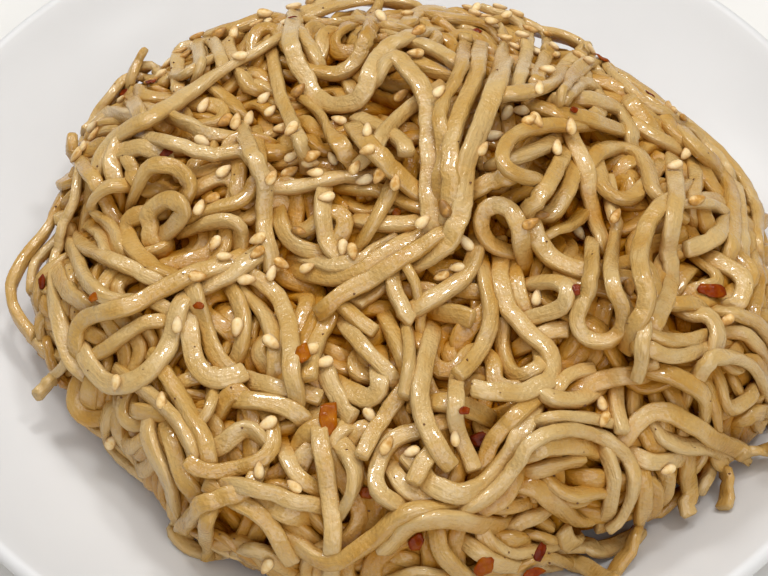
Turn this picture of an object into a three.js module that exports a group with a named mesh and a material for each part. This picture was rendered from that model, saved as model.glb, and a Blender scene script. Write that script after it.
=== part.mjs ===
// A helping of sesame ramen noodles heaped on a round white coupe plate.
// Millimetres, +Z up. The origin is at the centre of the plate's foot, on the table.
import * as THREE from "three";
import { mergeVertices } from "three/addons/utils/BufferGeometryUtils.js";

// Driving dimensions of the plate.
const plateRadius = 97;
const plateHeight = 21;
const wellRadius = 56; // where the flat well ends and the wall starts to rise
const wellFloor = 6; // height of the eating surface over the table
const wellThickness = 3.6;
const rimThickness = 3.2;
const wallThickening = 1.15; // the wall, cut straight down, at the rim against the rim's own thickness
const wallCurve = 2.1; // 1 is a straight cone, more is a wall that steepens towards the rim
const footInner = 46;
const footOuter = 53;
const footBevel = 0.9;
const plateSegments = 64;
const wallSteps = 7;
const lipSteps = 5;
const lipStartAngle = -Math.PI / 4; // where the wall's underside runs into the round lip
const lipEndAngle = (129 / 180) * Math.PI; // and where the lip runs into the wall's top, without a crease

// Driving dimensions of the heap.
const heapHalfWidth = 75; // along X
const heapHalfDepth = 69; // along Y
const heapHeight = 41; // of the crown over the well, without the swells
const bulgeHeight = 11; // how far over the well the heap is widest
const bulgeDepth = 15; // how far it would round off below that, were there no plate
const heapGap = 0.4; // clearance between the heap and the plate
const crownPower = 0.86; // under 1 makes the shoulders rounder than an ellipsoid's
const shoulderTilt = 1.4; // how much more the folds stand up than out
const heapDetail = 17;

// Rope-like folds, as thick as a few strands side by side, that wander over the surface.
const foldPitch = 12.5;
const foldRelief = 1.5;
const foldSharpness = 1.5; // more makes the grooves between the folds narrower
const foldDirection = new THREE.Vector3(0.62, 0.78, 0.5);
const foldWander = [
  [7, 13, 9, 0],
  [6, 11, -7, 1.3],
]; // size in mm, wavelengths across and up, phase

// The outline against the plain oval, at sixteen even turns anticlockwise from +X.
const outlineShares = [
  1.01, 0.87, 0.83, 0.83, 0.8, 0.8, 0.85, 0.87,
  0.88, 0.98, 0.95, 1.06, 1.1, 1.12, 1.12, 1.08,
];
// The hills and hollows of the top, each as [wavelength in mm, height in mm, direction, phase].
const surfaceSwells = [
  [88, 1.7, 0.5, 0.3],
  [57, 1.6, 2.2, 1.9],
  [35, 1.4, 1.1, 4.1],
  [23, 1.0, 2.8, 2.4],
];

// A point of the plate's section on the round lip.
function lipPoint(angle) {
  const reach = rimThickness / 2;
  return new THREE.Vector2(
    plateRadius - reach + reach * Math.cos(angle),
    plateHeight - reach + reach * Math.sin(angle),
  );
}
const wallEnd = lipPoint(lipEndAngle);

// How far up the wall a distance from the axis is, from the well (0) to the lip (1).
function wallShare(r) {
  return THREE.MathUtils.clamp((r - wellRadius) / (wallEnd.x - wellRadius), 0, 1);
}

// The height of the plate's eating surface at a distance from the axis.
function plateTop(r) {
  return wellFloor + (wallEnd.y - wellFloor) * wallShare(r) ** wallCurve;
}

// The plate's thickness there, cut straight down.
function plateThickness(r) {
  return THREE.MathUtils.lerp(wellThickness, rimThickness * wallThickening, wallShare(r));
}

// Half of the plate's section: from the axis underneath, round the lip, and back to the axis on top.
function plateProfile() {
  const underside = wellFloor - wellThickness;
  const points = [
    [0, underside],
    [footInner - footBevel, underside],
    [footInner, footBevel],
    [footInner + footBevel, 0],
    [footOuter - footBevel, 0],
    [footOuter, footBevel],
    [footOuter + footBevel, underside],
  ];
  for (let i = 1; i < wallSteps; i++) {
    const r = THREE.MathUtils.lerp(wellRadius, wallEnd.x, i / wallSteps);
    points.push([r, plateTop(r) - plateThickness(r)]);
  }
  for (let i = 0; i <= lipSteps; i++) {
    points.push(lipPoint(THREE.MathUtils.lerp(lipStartAngle, lipEndAngle, i / lipSteps)).toArray());
  }
  for (let i = wallSteps - 1; i >= 0; i--) {
    const r = THREE.MathUtils.lerp(wellRadius, wallEnd.x, i / wallSteps);
    points.push([r, plateTop(r)]);
  }
  points.push([0, wellFloor]);
  return points.map(([r, z]) => new THREE.Vector2(r, z));
}

function makePlate() {
  const geometry = new THREE.LatheGeometry(plateProfile(), plateSegments);
  geometry.rotateX(Math.PI / 2);
  const glaze = new THREE.MeshStandardMaterial({ color: 0xe9e8e5, roughness: 0.18, metalness: 0 });
  const plate = new THREE.Mesh(geometry, glaze);
  plate.name = "plate";
  return plate;
}

// The heap's reach at an angle against the plain oval's: a smooth curve through the shares.
function outlineShare(angle) {
  const count = outlineShares.length;
  const place = ((angle / (2 * Math.PI)) * count + count) % count;
  const first = Math.floor(place);
  const [p0, p1, p2, p3] = [-1, 0, 1, 2].map((step) => outlineShares[(first + step + count) % count]);
  const t = place - first;
  return (
    0.5 *
    (2 * p1 + (p2 - p0) * t + (2 * p0 - 5 * p1 + 4 * p2 - p3) * t ** 2 + (3 * p1 - p0 - 3 * p2 + p3) * t ** 3)
  );
}

// The broad hills and hollows of the top, in mm.
function swell(x, y) {
  return surfaceSwells.reduce((sum, [length, height, direction, phase]) => {
    const along = x * Math.cos(direction) + y * Math.sin(direction);
    return sum + height * Math.sin((2 * Math.PI * along) / length + phase);
  }, 0);
}

// The folds, from -1 in the grooves to 1 on the crests.
function fold(p) {
  const wander = foldWander.reduce(
    (sum, [size, across, up, phase], i) => sum + size * Math.sin(p.getComponent(i) / across + p.z / up + phase),
    0,
  );
  const place = (p.dot(foldDirection) + wander) / foldPitch;
  return 1 - 2 * Math.abs(Math.sin(Math.PI * place)) ** foldSharpness;
}

// Moves a point of the unit sphere on to the heap's surface.
function heapPoint(unit) {
  const angle = Math.atan2(unit.y, unit.x);
  const level = Math.hypot(unit.x, unit.y); // 0 on the axis, 1 at the widest
  const share = outlineShare(angle);
  const reach = unit.z > 0 ? heapHeight - bulgeHeight : bulgeDepth;
  const p = new THREE.Vector3(
    heapHalfWidth * share * level * Math.cos(angle),
    heapHalfDepth * share * level * Math.sin(angle),
    wellFloor + bulgeHeight + Math.sign(unit.z) * reach * Math.abs(unit.z) ** crownPower,
  );
  p.z += swell(p.x, p.y) * Math.max(0, unit.z);
  const outward = new THREE.Vector3(unit.x, unit.y, unit.z * shoulderTilt).normalize();
  p.addScaledVector(outward, foldRelief * fold(p));
  p.z = Math.max(p.z, plateTop(Math.hypot(p.x, p.y)) + heapGap);
  return p;
}

function makeNoodleHeap() {
  const ball = new THREE.IcosahedronGeometry(1, heapDetail);
  ball.deleteAttribute("normal");
  ball.deleteAttribute("uv");
  const geometry = mergeVertices(ball, 1e-4);
  const position = geometry.getAttribute("position");
  for (let i = 0; i < position.count; i++) {
    const p = heapPoint(new THREE.Vector3().fromBufferAttribute(position, i));
    position.setXYZ(i, p.x, p.y, p.z);
  }
  geometry.computeVertexNormals();
  const noodle = new THREE.MeshStandardMaterial({ color: 0xc29a60, roughness: 0.35, metalness: 0 });
  const heap = new THREE.Mesh(geometry, noodle);
  heap.name = "noodle_heap";
  return heap;
}

const dish = new THREE.Group();
dish.add(makePlate(), makeNoodleHeap());

export default dish;
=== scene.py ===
import math

import bmesh
import bpy
import numpy as np
from mathutils import Matrix, Vector


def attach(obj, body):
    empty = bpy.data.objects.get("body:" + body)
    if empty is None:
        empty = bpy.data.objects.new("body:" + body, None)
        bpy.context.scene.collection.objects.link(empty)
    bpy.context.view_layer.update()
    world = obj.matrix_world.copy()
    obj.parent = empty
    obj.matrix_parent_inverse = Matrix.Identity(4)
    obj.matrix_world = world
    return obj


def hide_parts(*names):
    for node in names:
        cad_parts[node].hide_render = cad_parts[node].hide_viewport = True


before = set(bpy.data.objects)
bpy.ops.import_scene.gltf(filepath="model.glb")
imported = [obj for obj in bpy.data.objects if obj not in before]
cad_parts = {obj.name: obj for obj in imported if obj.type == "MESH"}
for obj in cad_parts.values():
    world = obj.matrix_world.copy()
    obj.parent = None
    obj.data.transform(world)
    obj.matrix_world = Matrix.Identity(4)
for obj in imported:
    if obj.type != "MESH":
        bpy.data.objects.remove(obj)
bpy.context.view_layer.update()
print("frame loaded:", sorted(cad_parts))

# Shapes are worked out in millimetres and turned to metres when they become a mesh.
mm = 0.001


def newObject(name, mesh):
    obj = bpy.data.objects.new(name, mesh)
    bpy.context.scene.collection.objects.link(obj)
    return obj


def objectFrom(bm, name, smooth=True):
    for face in bm.faces:
        face.smooth = smooth
    mesh = bpy.data.meshes.new(name)
    bm.to_mesh(mesh)
    bm.free()
    return newObject(name, mesh)


def addValues(mesh, label, values):  # one number for each vertex, which the material reads
    layer = mesh.attributes.new(label, "FLOAT", "POINT")
    layer.data.foreach_set("value", np.array(values, dtype=np.float32))


# The eye stands over the near side of the plate and looks down on it.
view = {
    "lens": 82.0,
    "sensor": 36.0,
    "near": 0.01,
    "far": 20.0,
    "distance": 350.0,
    "elevation": 52.1,
    "aim": (0.0, -2.0, 4.5),
}
elevation = math.radians(view["elevation"])
eyeForward = np.array([0.0, math.cos(elevation), -math.sin(elevation)])
eyeRight = np.array([1.0, 0.0, 0.0])
eyeUp = np.array([0.0, math.sin(elevation), math.cos(elevation)])
eyeAim = np.array(view["aim"])
eyePlace = eyeAim - view["distance"] * eyeForward


def makeCamera():
    data = bpy.data.cameras.new("camera")
    data.lens = view["lens"]
    data.sensor_width = view["sensor"]
    data.clip_start = view["near"]
    data.clip_end = view["far"]
    camera = newObject("camera", data)
    turn = Matrix((eyeRight, eyeUp, -eyeForward)).transposed().to_4x4()
    camera.matrix_world = Matrix.Translation(Vector(eyePlace * mm)) @ turn
    bpy.context.scene.camera = camera


def eyeRays(across, up):
    target = eyeAim + np.outer(across, eyeRight) + np.outer(up, eyeUp)
    rays = target - eyePlace
    return rays / np.linalg.norm(rays, axis=1)[:, None]


makeCamera()

plateShape = {
    "radius": 97.0,
    "height": 21.0,
    "well": 56.0,  # radius of the flat middle
    "floor": 6.0,
    "wellThickness": 3.6,
    "rimThickness": 3.2,
    "thickening": 1.15,  # the wall, cut straight down, at the rim against the rim's own thickness
    "curve": 2.1,  # 1 is a straight cone, more is a wall that steepens towards the rim
    "lipStart": -45,  # degrees round the lip where the underside runs into it
    "lipEnd": 129,  # and where it runs into the top
    "footInner": 46.0,
    "footOuter": 53.0,
    "footFlat": 2.2,  # how far inside the foot ring the flat underside ends
    "footFillet": (1.6, 1.2),
    # the foot ring's section: steps out from its inner and outer radius, with their heights
    "footInside": ((0.4, 0.25), (1.1, 0)),
    "footOutside": ((-1.1, 0), (-0.3, 0.3), (0, 1.1), (0.6, 2.0)),
    "filletSteps": 4,
    "undersideSteps": 15,
    "lipSteps": 10,
    "topSteps": 18,
    "turnSteps": 144,
}


def lipPoint(degrees):
    turn, reach = math.radians(degrees), plateShape["rimThickness"] / 2
    return (plateShape["radius"] - reach + reach * math.cos(turn),
            plateShape["height"] - reach + reach * math.sin(turn))


wallEnd = lipPoint(plateShape["lipEnd"])


def plateTop(r):
    share = np.clip((r - plateShape["well"]) / (wallEnd[0] - plateShape["well"]), 0, 1)
    return plateShape["floor"] + (wallEnd[1] - plateShape["floor"]) * share ** plateShape["curve"]


def wallPoint(k, count):
    r = plateShape["well"] + (wallEnd[0] - plateShape["well"]) * k / count
    return r, float(plateTop(r))


def platePoints():  # half of the section: underneath from the axis, round the lip and back on top
    s = plateShape
    under = s["floor"] - s["wellThickness"]
    wide, tall = s["footFillet"]
    points = [(0, under), (s["footInner"] - s["footFlat"], under)]
    for k in range(s["filletSteps"] + 1):
        turn = math.pi / 2 * k / s["filletSteps"]
        points.append((s["footInner"] - wide + wide * math.sin(turn), under - tall + tall * math.cos(turn)))
    points += [(s["footInner"] + out, z) for out, z in s["footInside"]]
    points += [(s["footOuter"] + out, z) for out, z in s["footOutside"]]
    more = s["rimThickness"] * s["thickening"] - s["wellThickness"]
    for k in range(1, s["undersideSteps"]):
        r, z = wallPoint(k, s["undersideSteps"])
        points.append((r, z - (s["wellThickness"] + more * k / s["undersideSteps"])))
    points += [lipPoint(turn) for turn in np.linspace(s["lipStart"], s["lipEnd"], s["lipSteps"] + 1).tolist()]
    points += [wallPoint(k, s["topSteps"]) for k in range(s["topSteps"] - 1, -1, -1)]
    points += [(s["well"] * k / 4, s["floor"]) for k in (3, 2, 1, 0)]
    return points


def makePlate():
    bm = bmesh.new()
    verts = [bm.verts.new((r * mm, 0, z * mm)) for r, z in platePoints()]
    edges = [bm.edges.new(pair) for pair in zip(verts, verts[1:])]
    bmesh.ops.spin(bm, geom=verts + edges, cent=(0, 0, 0), axis=(0, 0, 1), dvec=(0, 0, 0), angle=math.tau,
                   steps=plateShape["turnSteps"], use_merge=True, use_duplicate=False)
    bmesh.ops.remove_doubles(bm, verts=bm.verts, dist=1e-6)
    bmesh.ops.recalc_face_normals(bm, faces=bm.faces)
    return objectFrom(bm, "plateGlazed")


heapShape = {
    "centre": (1.0, 0.0),
    "halfWidth": 75.0,
    "halfDepth": 69.0,
    "bulge": 17.0,  # height of the widest place over the table
    "crown": 30.0,  # from there up to the top
    "tuck": 15.0,  # and down, were there no plate
    "power": 2.33,
    # the outline against the plain oval, at sixteen even turns anticlockwise from +X
    "shares": (1.01, 0.87, 0.83, 0.83, 0.80, 0.80, 0.85, 0.87,
               0.88, 0.98, 0.95, 1.06, 1.10, 1.12, 1.12, 1.08),
    # hills and hollows: length, height, direction and phase
    "swells": ((88, 1.7, 0.5, 0.3), (57, 1.6, 2.2, 1.9), (35, 1.4, 1.1, 4.1)),
    "coreLevel": -10.0,
    "coreGap": 0.3,  # between the core and the plate
}


def smoothBetween(p0, p1, p2, p3, t):  # the curve through p1 and p2, with their neighbours
    return 0.5 * (2 * p1 + (p2 - p0) * t + (2 * p0 - 5 * p1 + 4 * p2 - p3) * t ** 2
                  + (3 * p1 - p0 - 3 * p2 + p3) * t ** 3)


def outlineShare(angle):
    shares = np.array(heapShape["shares"])
    count = len(shares)
    place = (angle / math.tau * count) % count
    first = np.floor(place).astype(int) % count
    return smoothBetween(*(shares[(first + k) % count] for k in (-1, 0, 1, 2)), place - np.floor(place))


def heapOutside(points):  # how far outside the heap's outline each point lies, and the way out
    s = heapShape
    x = points[:, 0] - s["centre"][0]
    y = points[:, 1] - s["centre"][1]
    share = outlineShare(np.arctan2(y, x))
    wide = s["halfWidth"] * share
    deep = s["halfDepth"] * share
    swell = sum(height * np.sin(math.tau * (points[:, 0] * math.cos(way) + points[:, 1] * math.sin(way))
                                / length + phase) for length, height, way, phase in s["swells"])
    z = points[:, 2] - s["bulge"]
    z = z - swell * np.clip(z / s["crown"], 0, 1)
    tall = np.where(z > 0, s["crown"], s["tuck"])
    power = s["power"]
    lift = np.abs(z) / tall
    rho = np.sqrt((x / wide) ** 2 + (y / deep) ** 2 + lift ** power + 1e-9)
    grad = np.stack([2 * x / wide ** 2, 2 * y / deep ** 2,
                     np.sign(z) * power * lift ** (power - 1) / tall], axis=1)
    steep = np.linalg.norm(grad, axis=1) + 1e-6
    return 2 * rho * (rho - 1) / steep, grad / steep[:, None]


def toLevel(points, level, times=3):  # moves points along the way out until they lie at one level
    longest = 4
    for _ in range(times):
        outside, out = heapOutside(points)
        points = points - np.clip(outside - level, -longest, longest)[:, None] * out
    return points


strand = {
    "width": 2.85,
    "thickness": 2.05,
    "bead": 1.9,  # distance between the points that the settling moves
    "gap": 2.4,  # how near two strands' middles come
    "proud": -0.5,  # where the loose strands stop, outside the heap's outline
    "step": 1.15,  # distance between the rings of the finished mesh
    "sides": 12,
    "squareness": 0.45,  # 1 would be an oval, 0 a box
}

# Loose noodles in hanks, from the inside out, each layer at a level against the heap's outline.
layers = (
    {"hanks": 21, "level": -8.5, "run": 150, "seed": 11},
    {"hanks": 19, "level": -6.0, "run": 190, "seed": 12},
    {"hanks": 18, "level": -3.5, "run": 210, "seed": 13},
)

# How a hank wanders, in millimetres and radians, with its slow waves in beads.
wander = {
    "startLift": 3.0,  # over the heap's bulge
    "drift": 0.016,  # how fast the way ahead turns, in waves of so many beads
    "driftWaves": (26, 45, 80),
    "curl": (17, 27),  # length of the strands' own curls
    "swing": (0.5, 1.5),  # and how far those swing out
    "turnHeight": 19,  # a strand that comes lower turns back up
    "turnFade": 6,
    "turnRate": 0.22,
    "climb": 0.6,  # one that climbs as steeply as this turns no more
    "most": 6,  # a hank has fewer strands than this
    "spacing": 2.9,
    "slip": 0.55,  # how far neighbours stray, in waves of so many beads
    "slipWaves": (9, 15, 31),
    "lateStart": 8,  # beads
    "earlyEnd": 14,
}


def randomWaves(rng, count, length, waves, size):  # a slow random curve along each strand
    s = np.arange(length)[None, :]
    total = np.zeros((count, length))
    for wave in waves:
        total += rng.normal(0, size, (count, 1)) * np.sin(
            math.tau * s / (wave * rng.uniform(0.8, 1.25, (count, 1))) + rng.uniform(0, math.tau, (count, 1)))
    return total


def unit(vectors):
    return vectors / (np.linalg.norm(vectors, axis=1)[:, None] + 1e-9)


def walkHanks(layer):  # strands in loose hanks that wander over the heap at one level
    rng = np.random.default_rng(layer["seed"])
    w, h = wander, heapShape
    count = layer["hanks"]
    bead = strand["bead"]
    steps = int(layer["run"] / bead)
    polar = rng.uniform(0, math.tau, count)
    reach = np.sqrt(rng.uniform(0.0, 1.0, count))
    wide = reach * outlineShare(polar)
    start = np.stack([h["halfWidth"] * wide * np.cos(polar), h["halfDepth"] * wide * np.sin(polar),
                      np.full(count, h["bulge"] + w["startLift"])], axis=1)
    start[:, 2] += h["crown"] * np.sqrt(np.clip(1 - reach ** 2, 0, 1))
    p = toLevel(start, layer["level"], 8)
    heading = rng.uniform(0, math.tau, count)
    ahead = np.stack([np.cos(heading), np.sin(heading), np.zeros(count)], axis=1)
    curl = rng.uniform(*w["curl"], count)
    swing = rng.uniform(*w["swing"], count)
    phase = rng.uniform(0, math.tau, count)
    drift = randomWaves(rng, count, steps, w["driftWaves"], w["drift"])
    path = np.zeros((count, steps, 3))
    side = np.zeros((count, steps, 3))
    for k in range(steps):
        out = heapOutside(p)[1]
        ahead -= np.sum(ahead * out, axis=1)[:, None] * out
        ahead /= np.linalg.norm(ahead, axis=1)[:, None] + 1e-9
        left = np.cross(out, ahead)
        low = np.clip((w["turnHeight"] - p[:, 2]) / w["turnFade"], 0, 1)
        upHill = np.array([0, 0, 1.0]) - out * out[:, 2:3]
        turnUp = np.sign(np.sum(upHill * left, axis=1)) * low * w["turnRate"]
        turnUp *= np.clip(w["climb"] - np.sum(upHill * ahead, axis=1), 0, 1)
        bend = drift[:, k] * bead + turnUp
        ahead = ahead * np.cos(bend)[:, None] + left * np.sin(bend)[:, None]
        left = np.cross(out, ahead)
        angle = swing * np.sin(math.tau * k * bead / curl + phase)
        along = ahead * np.cos(angle)[:, None] + left * np.sin(angle)[:, None]
        path[:, k] = p
        side[:, k] = left
        p = toLevel(p + along * bead, layer["level"], 1)
    result = []
    for hank in range(count):
        members = rng.integers(1, w["most"])
        for j in range(members):
            shift = (j - (members - 1) / 2) * w["spacing"]
            first = int(rng.integers(0, w["lateStart"]))
            last = steps - int(rng.integers(0, w["earlyEnd"]))
            slip = randomWaves(rng, 1, steps, w["slipWaves"], w["slip"])[0]
            route = path[hank] + side[hank] * (shift + slip)[:, None]
            result.append(toLevel(route[first:last], layer["level"], 2))
    return result


# How high the noodles lie so far, on a map of the heap's skin spread out flat.
pileMap = {
    "cell": 0.8,
    "size": 280,
    "quarter": 88,  # millimetres on the map from the top down to the heap's widest place
    "edge": 6,  # cells at the rim that aren't used
    "stamp": 1.5,  # radius of a strand's mark
    "margin": 4,  # strands further outside the heap than this leave no mark
    "rank": 5,  # a strand lies on the fifth highest of the cells under it
}
pileLevel = np.full((pileMap["size"], pileMap["size"]), heapShape["coreLevel"])


def mapPlace(points):  # the cell of the map that each point is over
    s = heapShape
    x = (points[:, 0] - s["centre"][0]) / s["halfWidth"]
    y = (points[:, 1] - s["centre"][1]) / s["halfDepth"]
    z = (points[:, 2] - s["bulge"]) / s["crown"]
    flat = np.hypot(x, y) + 1e-9
    spread = np.arctan2(flat, z) * 2 / math.pi * pileMap["quarter"] / pileMap["cell"]
    return np.stack([x / flat * spread, y / flat * spread], axis=1) + pileMap["size"] / 2


def stampCells(radius):
    r = int(math.ceil(radius / pileMap["cell"]))
    gx, gy = np.meshgrid(np.arange(-r, r + 1), np.arange(-r, r + 1))
    keep = np.hypot(gx, gy) * pileMap["cell"] <= radius
    return gx[keep], gy[keep]


stamp = stampCells(pileMap["stamp"])


def blur(values, times):
    for _ in range(times):
        padded = np.concatenate([values[:1], values, values[-1:]])
        values = (padded[:-2] + 2 * padded[1:-1] + padded[2:]) / 4
    return values


tail = {"length": 9.0, "depth": 5.0, "bend": 1.3}  # how a hidden end dives


def dive(level, ends):  # lowers the hidden ends of a strand
    beads = int(tail["length"] / strand["bead"])
    ramp = tail["depth"] * (1 - np.arange(beads) / beads) ** tail["bend"]
    level = level.copy()
    if ends[0] == "h" and len(level) > beads:
        level[:beads] -= ramp
    if ends[1] == "h" and len(level) > beads:
        level[-beads:] -= ramp[::-1]
    return level


def alongRays(points, rays, level):  # moves points along the line of sight to a level of the heap
    leastSlope = -0.3
    longest = 3
    for _ in range(6):
        outside, out = heapOutside(points)
        slope = np.sum(out * rays, axis=1)
        sight = rays * ((level - outside) / np.minimum(slope, leastSlope))[:, None]
        straight = out * (level - outside)[:, None]
        move = np.where((slope < leastSlope)[:, None], sight, straight)
        points = points + np.clip(move, -longest, longest)
    return points


def layOnPile(route, rays=None, ends="hh"):  # lifts one strand on to what lies under it, and adds it
    edge = pileMap["edge"]
    cells = np.clip(np.rint(mapPlace(route)).astype(int), edge, pileMap["size"] - edge - 1)
    marks = (cells[:, 0][:, None] + stamp[0], cells[:, 1][:, None] + stamp[1])
    floor = np.sort(pileLevel[marks], axis=1)[:, -pileMap["rank"]] + strand["thickness"] * 0.5
    level = floor.copy()
    for _ in range(5):
        level = np.maximum(blur(level, 3), floor)
    level = dive(blur(level, 2), ends)
    onHeap = heapOutside(route)[0] < pileMap["margin"]
    if rays is None:
        route = toLevel(route, level, 3)
    else:
        route = np.where(onHeap[:, None], alongRays(route, rays, level), route)
    top = np.repeat((level[onHeap] + strand["thickness"] * 0.5)[:, None], len(stamp[0]), axis=1)
    np.maximum.at(pileLevel, (marks[0][onHeap], marks[1][onHeap]), top)
    return route


# The strands press on each other, the core and the plate until none cuts another.
settling = {
    "rounds": 160,
    "fresh": 4,  # rounds between two searches for neighbours
    "search": 1.25,  # how far those look, in gaps
    "own": 3,  # beads of one strand nearer than this don't press on each other
    # beads apart, and how stiff the strand is between them
    "stiffness": ((1, 1.0), (2, 0.5), (3, 0.35), (5, 0.2)),
    "inward": 0.5,  # strands sink towards the core and the plate
    "down": 0.5,
    "sink": (0.03, 0.12),  # by so much in every round, and so much more in the first
    "sinkDepth": (9, 6),  # how deep the sinking ends, and over what height it comes back in full
    "leastSink": 0.2,
    "give": 0.7,  # share of an overlap that one pass takes away
    "mostMove": 0.8,
    "tuckIn": 0.5,  # how firmly a loose strand that stands proud is pressed in
    "aim": 0.25,  # how firmly a placed strand is held on its line of sight
    "plateGap": 0.55,  # in thicknesses
}


def chainPairs(lengths, reach):  # pairs of beads this far apart on one strand, in two sets
    starts = np.concatenate([[0], np.cumsum(lengths)[:-1]])
    index = np.arange(sum(lengths))
    local = index - np.repeat(starts, lengths)
    size = np.repeat(lengths, lengths)
    first = index[local + reach < size]
    turn = (local[first] // reach) % 2
    return [(first[turn == t], first[turn == t] + reach) for t in (0, 1)]


def nearPairs(points, strandOf, localOf, reach):  # beads that may touch, found cell by cell
    cell = np.floor(points / reach).astype(np.int64) + 512
    key = (cell[:, 0] << 22) + (cell[:, 1] << 11) + cell[:, 2]
    order = np.argsort(key, kind="stable")
    sortedKey = key[order]
    found = []
    for dx in (-1, 0, 1):
        for dy in (-1, 0, 1):
            shift = (dx << 22) + (dy << 11)
            low = np.searchsorted(sortedKey, key + shift - 1, "left")
            high = np.searchsorted(sortedKey, key + shift + 1, "right")
            count = high - low
            a = np.repeat(np.arange(len(points)), count)
            inside = np.arange(count.sum()) - np.repeat(np.cumsum(count) - count, count)
            b = order[np.repeat(low, count) + inside]
            keep = a < b
            a, b = a[keep], b[keep]
            apart = (strandOf[a] != strandOf[b]) | (np.abs(localOf[a] - localOf[b]) > settling["own"])
            a, b = a[apart], b[apart]
            near = np.sum((points[a] - points[b]) ** 2, axis=1) < (reach * settling["search"]) ** 2
            found.append(np.stack([a[near], b[near]]))
    return np.concatenate(found, axis=1)


def pushApart(p, pairs):
    a, b = pairs
    d = p[b] - p[a]
    far = np.linalg.norm(d, axis=1) + 1e-6
    push = np.clip(strand["gap"] - far, 0, None) * 0.5
    hit = push > 0
    move = d[hit] / far[hit][:, None] * push[hit][:, None] * settling["give"]
    total = np.zeros_like(p)
    for c in range(3):
        total[:, c] = (np.bincount(b[hit], move[:, c], len(p)) - np.bincount(a[hit], move[:, c], len(p)))
    return p + np.clip(total, -settling["mostMove"], settling["mostMove"])


def keepLengths(p, chains):
    for a, b, rest, stiff in chains:
        d = p[b] - p[a]
        far = np.linalg.norm(d, axis=1) + 1e-6
        fix = d * ((far - rest) / far * 0.5 * stiff)[:, None]
        p[a] += fix
        p[b] -= fix


def settle(routes, pinned, pinRay):
    s = settling
    lengths = np.array([len(r) for r in routes])
    p = np.concatenate(routes)
    strandOf = np.repeat(np.arange(len(routes)), lengths)
    localOf = np.concatenate([np.arange(n) for n in lengths])
    chains = []
    for reach, stiff in s["stiffness"]:
        for a, b in chainPairs(lengths, reach):
            rest = np.linalg.norm(p[b] - p[a], axis=1)
            if reach == 1:
                rest = np.full(len(rest), strand["bead"])
            chains.append((a, b, rest, stiff))
    loose = np.ones(len(p), bool)
    loose[pinned] = False
    for k in range(s["rounds"]):
        ease = 1 - k / s["rounds"]
        outside, out = heapOutside(p)
        fall = -out * s["inward"] - np.array([0, 0, s["down"]])
        hollow = np.clip((outside + s["sinkDepth"][0]) / s["sinkDepth"][1], s["leastSink"], 1)
        p = p + fall * (s["sink"][0] + s["sink"][1] * ease) * hollow[:, None]
        if k % s["fresh"] == 0:
            pairs = nearPairs(p, strandOf, localOf, strand["gap"])
        for _ in range(2):
            p = pushApart(p, pairs)
            keepLengths(p, chains)
        outside, out = heapOutside(p)
        deep = np.clip(heapShape["coreLevel"] + strand["thickness"] * 0.5 - outside, 0, 2)
        proud = np.where(loose, np.clip(outside - strand["proud"], 0, 1) * s["tuckIn"], 0)
        p = p + out * (deep - proud)[:, None]
        off = p[pinned] - eyePlace
        p[pinned] -= (off - np.sum(off * pinRay, axis=1)[:, None] * pinRay) * s["aim"]
        table = plateTop(np.hypot(p[:, 0], p[:, 1])) + strand["thickness"] * s["plateGap"]
        p[:, 2] = np.maximum(p[:, 2], table)
    return np.split(p, np.cumsum(lengths)[:-1])


def neighbours(points):  # for each stretch of a line: its two ends, and the points before and after
    padded = np.concatenate([2 * points[:1] - points[1:2], points, 2 * points[-1:] - points[-2:-1]])
    return [padded[k:len(padded) - 3 + k][:, None, :] for k in range(4)]


def evenly(line, step, least):  # even places along a line, as distances, and its own points' distances
    gone = np.concatenate([[0], np.cumsum(np.linalg.norm(np.diff(line, axis=0), axis=1))])
    return np.linspace(0, gone[-1], max(least, int(round(gone[-1] / step))) + 1), gone


def columnsAt(places, gone, table):
    return np.stack([np.interp(places, gone, column) for column in table.T], axis=1)


def resample(route, step):  # a smooth curve past the route's points, evenly stepped
    t = np.linspace(0, 1, 5)[:-1][None, :, None]
    p0, p1, p2, p3 = neighbours(route)
    fine = ((1 - t) ** 3 * p0 + (3 * t ** 3 - 6 * t ** 2 + 4) * p1
            + (-3 * t ** 3 + 3 * t ** 2 + 3 * t + 1) * p2 + t ** 3 * p3) / 6
    fine = np.concatenate([fine.reshape(-1, 3), route[-1:]])
    even, gone = evenly(fine, step, 4)
    return columnsAt(even, gone, fine), even


# How a strand's section changes along it. Waves are in rings.
section = {
    "fat": (0.9, 1.08),
    "flat": (-0.06, 0.24),
    "roll": ((34, 70, 130), 0.4),
    "sway": ((5, 8, 13), 0.045),
    "girth": ((6, 11, 23, 47), 0.02),
    "crinkle": ((2.6, 3.9, 5.3), 0.014),
    "endSize": 0.72,  # a rounded-off cut
    "endReach": 0.7,
    "endShoulder": 0.97,
    "feeler": 0.7,  # how far outside the skin the light on it is taken
}


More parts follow.
